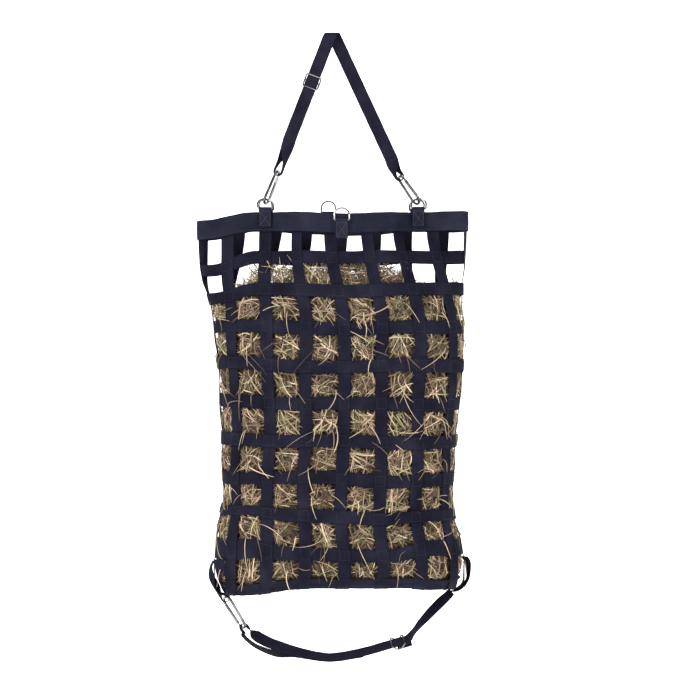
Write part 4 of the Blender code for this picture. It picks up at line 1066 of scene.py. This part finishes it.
def make_hanging_strap():
    slopes = (LEFT_SLOPE, -RIGHT_SLOPE)
    left_up, right_up = (Vector((math.sin(slope), 0, math.cos(slope))) for slope in slopes)
    left_side, right_side = (Vector((up.z, 0, -up.x)) for up in (left_up, right_up))
    left_snap_up, left_across = eye_directions(LEFT_EYE, LEFT_RINGS, LEFT_TWIST)
    right_snap_up, right_across = eye_directions(RIGHT_EYE, RIGHT_RINGS, RIGHT_TWIST)
    ends = (LEFT_EYE, left_snap_up, left_up, left_across, left_side, FRONT)
    strap, main, behind = strap_from_eye(ends, 1, 0.075, 5, HANG_STRAP_END)
    radius = FOLD_RADIUS + THICK / 2
    helix_steps, slant = 7, WEB / math.cos((LEFT_SLOPE + RIGHT_SLOPE) / 2)
    middle = Vector((0, 0, THICK / 2 - radius * math.cos(math.pi / 2 / helix_steps)))
    lead = math.pi * radius * math.tan((LEFT_SLOPE + RIGHT_SLOPE) / 2)
    top_left = middle + Vector((-lead / 2, -radius, 0))
    leg_foot = Vector(main.rows[-1][:3])
    for share in (0.35, 0.7, 0.93):
        strap.add(leg_foot.lerp(top_left, share), left_side)
    for i in range(helix_steps + 1):
        angle = math.pi * i / helix_steps
        turned_point = Vector((0, -radius * math.cos(angle), radius * math.sin(angle)))
        along_fold = Vector((top_left.x + lead * i / helix_steps, 0, 0))
        strap.add(middle + turned_point + along_fold, Vector((1, 0, 0)), slant)
    ends = (RIGHT_EYE, right_snap_up, right_up, right_across, right_side, BACK)
    foot, foot_out = ply_path(*ends, 1, 0.040)
    sewn, _ = ply_path(*ends, -1, 0.040)
    top_right = Vector(strap.rows[-1][:3])
    for share in (0.07, 0.35, 0.7):
        strap.add(top_right.lerp(Vector(foot.rows[-1][:3]), share), right_side)
    strap.extend(foot, backwards=True)
    strap.extend(eye_path(RIGHT_EYE, right_snap_up, right_across, foot_out))
    strap.extend(sewn)
    strap.build("hanging_webbing", "hanger", ["hanging_strap"])
    # bar tacks hold the sewn foot of the right leg
    lines, foot_top = [], Vector(foot.rows[-1][:3])
    for up_by in (-0.004, -0.007, -0.020):
        for face, back_by in ((-1, 2 * PLY), (1, 0)):
            at = foot_top + right_up * up_by + Vector((0, face * (THICK / 2 + 0.0001) - back_by, 0))
            line = [tuple(at + right_side * x) for x in np.linspace(-0.009, 0.009, 6)]
            lines.append((line, [(0, face, 0)] * 6))
    sew("hanging_foot_bartack", lines, THREAD_MAT, "hanger", pitch=0.0024)

    leg = (top_left - leg_foot).normalized()
    square_front = left_side.cross(leg)
    square_front *= math.copysign(1.0, square_front.dot(FRONT))
    on_leg = leg_foot + leg * ((HANG_SLIDER_Z - leg_foot.z) / leg.z)
    make_slider_loop("hanging", slider_frame_at(on_leg, leg, left_side, square_front), "strap_slider")
    run = behind.after(HANG_STRAP_END)
    last = on_leg - square_front * (2 * PLY) - leg * 0.0085
    run.add(last - leg * 0.03, left_side)
    run.add(last, left_side)
    obj = run.build("hanging_return_webbing", None, ["hanging_strap_return"])
    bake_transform(obj)


def make_bottom_strap():
    frames = []
    points = [Vector((x, 0, z)) for x, z, _ in BOTTOM_ROUTE]
    for i, point in enumerate(points):
        before, after = points[max(i - 1, 0)], points[min(i + 1, len(points) - 1)]
        direction = (after - before).normalized()
        across = turned_about(BACK, direction, math.radians(BOTTOM_ROUTE[i][2]))
        frames.append((point, direction, across, direction.cross(across).normalized()))
    snap_up, eye_across = eye_directions(BOTTOM_EYE, LEFT_CORNER, BOTTOM_TWIST)
    first, _, first_across, first_face = frames[0]
    away = (first - BOTTOM_EYE).normalized()
    reach = (first - BOTTOM_EYE).length * 0.8
    ends = (BOTTOM_EYE, snap_up, away, eye_across, first_across, -first_face)
    strap, _, under = strap_from_eye(ends, -1, reach, 3, BOTTOM_STRAP_END)
    for point, _, across, face in frames[:-1]:
        strap.add(point + face * PLY, across)
    end, toward, side, face = frames[-1]
    strap.add(end + face * PLY, side, 0.0235)
    strap.add(end + toward * 0.0070 + face * PLY, side, 0.0190)
    strap.build("bottom_webbing", "lower_strap", ["bottom_strap"])
    # the sewn end at the right corner carries a boxed cross
    last, cross_half, cross_long = end + toward * 0.002, 0.0105, 0.010
    lines = []
    for (a, b), (c, d) in (((-0.8, 0.2), (0.8, 0.2)), ((-0.8, 1.5), (0.8, 1.5)), ((-0.8, 0.2), (0.8, 1.5)),
                           ((0.8, 0.2), (-0.8, 1.5)), ((-0.8, 0.2), (-0.8, 1.5)), ((0.8, 0.2), (0.8, 1.5))):
        line = []
        for t in np.linspace(0, 1, 4):
            u, v = a + (c - a) * t, b + (d - b) * t
            spot = last + side * u * cross_half - toward * v * cross_long
            line.append(tuple(spot + face * (PLY + THICK / 2)))
        lines.append((line, [tuple(face)] * 4))
    sew("bottom_end_stitches", lines, THREAD_MAT, "lower_strap", pitch=0.0024)

    at, direction, across, face = frames[BOTTOM_SLIDER_AT]
    make_slider_loop("bottom", slider_frame_at(at + face * PLY, -direction, across, face), "lower_slider")
    run = Path()
    run.rows = under.after(BOTTOM_STRAP_END).rows[:1]
    sloping = Vector((1, 0, -0.4)).normalized()
    for x, z, roll in ((-0.1790, -1.1860, 8), (-0.1655, -1.2015, 8), (-0.1430, -1.2155, 12),
                       (-0.1080, -1.2270, 22)):
        run.add(Vector((x, 0, z)), turned_about(BACK, sloping, math.radians(roll)))
    for point, _, side, out_face in frames[2:BOTTOM_SLIDER_AT]:
        run.add(point - out_face * PLY, side)
    obj = run.build("bottom_return_webbing", None, ["bottom_strap_return"])
    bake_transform(obj)


def make_corner_loops():
    snap_up, eye_across = eye_directions(BOTTOM_EYE, LEFT_CORNER, BOTTOM_TWIST)
    up = -snap_up
    out = eye_across.cross(up).normalized()
    out *= -math.copysign(1.0, out.x)
    left = Path()
    falling = Vector((0.15, 0, -1)).normalized()
    for x, z, roll in ((-0.2350, -1.0420, -14), (-0.2400, -1.0560, -20), (-0.2385, -1.0740, -45),
                       (-0.2290, -1.0940, -55)):
        left.add(Vector((x, 0, z)), turned_about(BACK, falling, math.radians(roll)), 0.0180)
    left.extend(eye_path(LEFT_CORNER, up, eye_across, out, SNAP_LARGE_R, CORNER_EYE_WIDTH, CORNER_EYE_SLACK))
    for x, y, z, width in ((-0.2105, -0.014, -1.1010, 0.0130), (-0.2125, -0.036, -1.0830, 0.0225),
                           (-0.2170, -0.056, -1.0600, WEB), (-0.2200, -0.062, -1.0350, WEB)):
        left.add(Vector((x, y, z)), Vector((0.82, -0.57, 0)), width)
    left.build("left_corner_webbing", "bag", ["left_corner_loop"], step=0.002)
    right = Path()
    for x, z, roll in ((0.2605, -1.0340, 44), (0.2670, -1.0440, 38), (0.2690, -1.0600, 26),
                       (0.2680, -1.0760, 14), (0.2610, -1.0900, 14), (0.2500, -1.0990, 16),
                       (0.2380, -1.1030, 20), (0.2230, -1.1010, 26)):
        right.add(Vector((x, 0, z)), turned_about(BACK, UP, math.radians(roll)), 0.0200)
    right.build("right_corner_webbing", "bag", ["right_corner_loop"], step=0.002)


# ---------------------------------------------------------------- metalwork
def plate_metal():
    """Steel on the pins and springs and nickel on the rest of the metal, which keeps the CAD's meshes."""
    looks = {("_pin", "_spring"): STEEL_MAT, ("_ring", "_slider", "_body", "_gate"): NICKEL_MAT}
    for name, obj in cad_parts.items():
        for endings, material in looks.items():
            if name.endswith(endings):
                obj.data.materials.clear()
                obj.data.materials.append(material)


make_tabs()
make_hanging_strap()
make_bottom_strap()
make_corner_loops()
plate_metal()


# ---------------------------------------------------------------- stage, light and camera
FLOOR_Z = -1.330
EYE = Vector((0.035, -4.50, -0.626))
FOCAL = 117.0


def make_stage():
    shade = Shade("studio_white", (0.93, 0.93, 0.93), 0.9)
    shade.look({"Emission Color": (1.0, 1.0, 1.0, 1.0), "Emission Strength": 0.75})
    near, far, half_wide, top, bend = -8.0, 4.0, 9.0, 9.0, 2.0
    profile = [(near, FLOOR_Z)] + [(far - bend + bend * math.sin(a), FLOOR_Z + bend - bend * math.cos(a))
                                   for a in np.linspace(0, math.pi / 2, 13)] + [(far, top)]
    points = [(x, y, z) for y, z in profile for x in (-half_wide, half_wide)]
    faces = [[2 * i, 2 * i + 1, 2 * i + 3, 2 * i + 2] for i in range(len(profile) - 1)]
    sweep = mesh_object("studio_sweep", points, faces)
    sweep.data.materials.append(shade.material)


def area_light(name, place, target, size, power):
    data = bpy.data.lights.new(name, "AREA")
    data.shape = "RECTANGLE"
    data.size, data.size_y = size
    data.energy = power
    lamp = bpy.data.objects.new(name, data)
    bpy.context.scene.collection.objects.link(lamp)
    lamp.location = place
    lamp.rotation_euler = (Vector(target) - Vector(place)).to_track_quat("-Z", "Y").to_euler()


def make_light_and_camera():
    scene = bpy.context.scene
    world = bpy.data.worlds.new("studio")
    world.use_nodes = True
    background = world.node_tree.nodes["Background"].inputs
    background["Color"].default_value = (1.0, 1.0, 1.0, 1.0)
    background["Strength"].default_value = 0.60
    scene.world = world
    centre = (0.0, 0.0, -0.62)
    area_light("key", (-2.2, -3.2, 1.6), centre, (1.6, 1.6), 150.0)
    area_light("fill", (2.8, -3.0, 0.2), centre, (2.0, 2.0), 60.0)
    area_light("back", (0.0, 2.6, 1.4), centre, (2.5, 1.2), 60.0)
    scene.view_settings.view_transform = "Standard"
    camera = bpy.data.cameras.new("camera")
    camera.lens, camera.sensor_width = FOCAL, 36.0
    camera.clip_end = 100.0
    eye = bpy.data.objects.new("camera", camera)
    scene.collection.objects.link(eye)
    eye.location = EYE
    eye.rotation_euler = (math.radians(90), 0, 0)
    scene.camera = eye


make_stage()
make_light_and_camera()
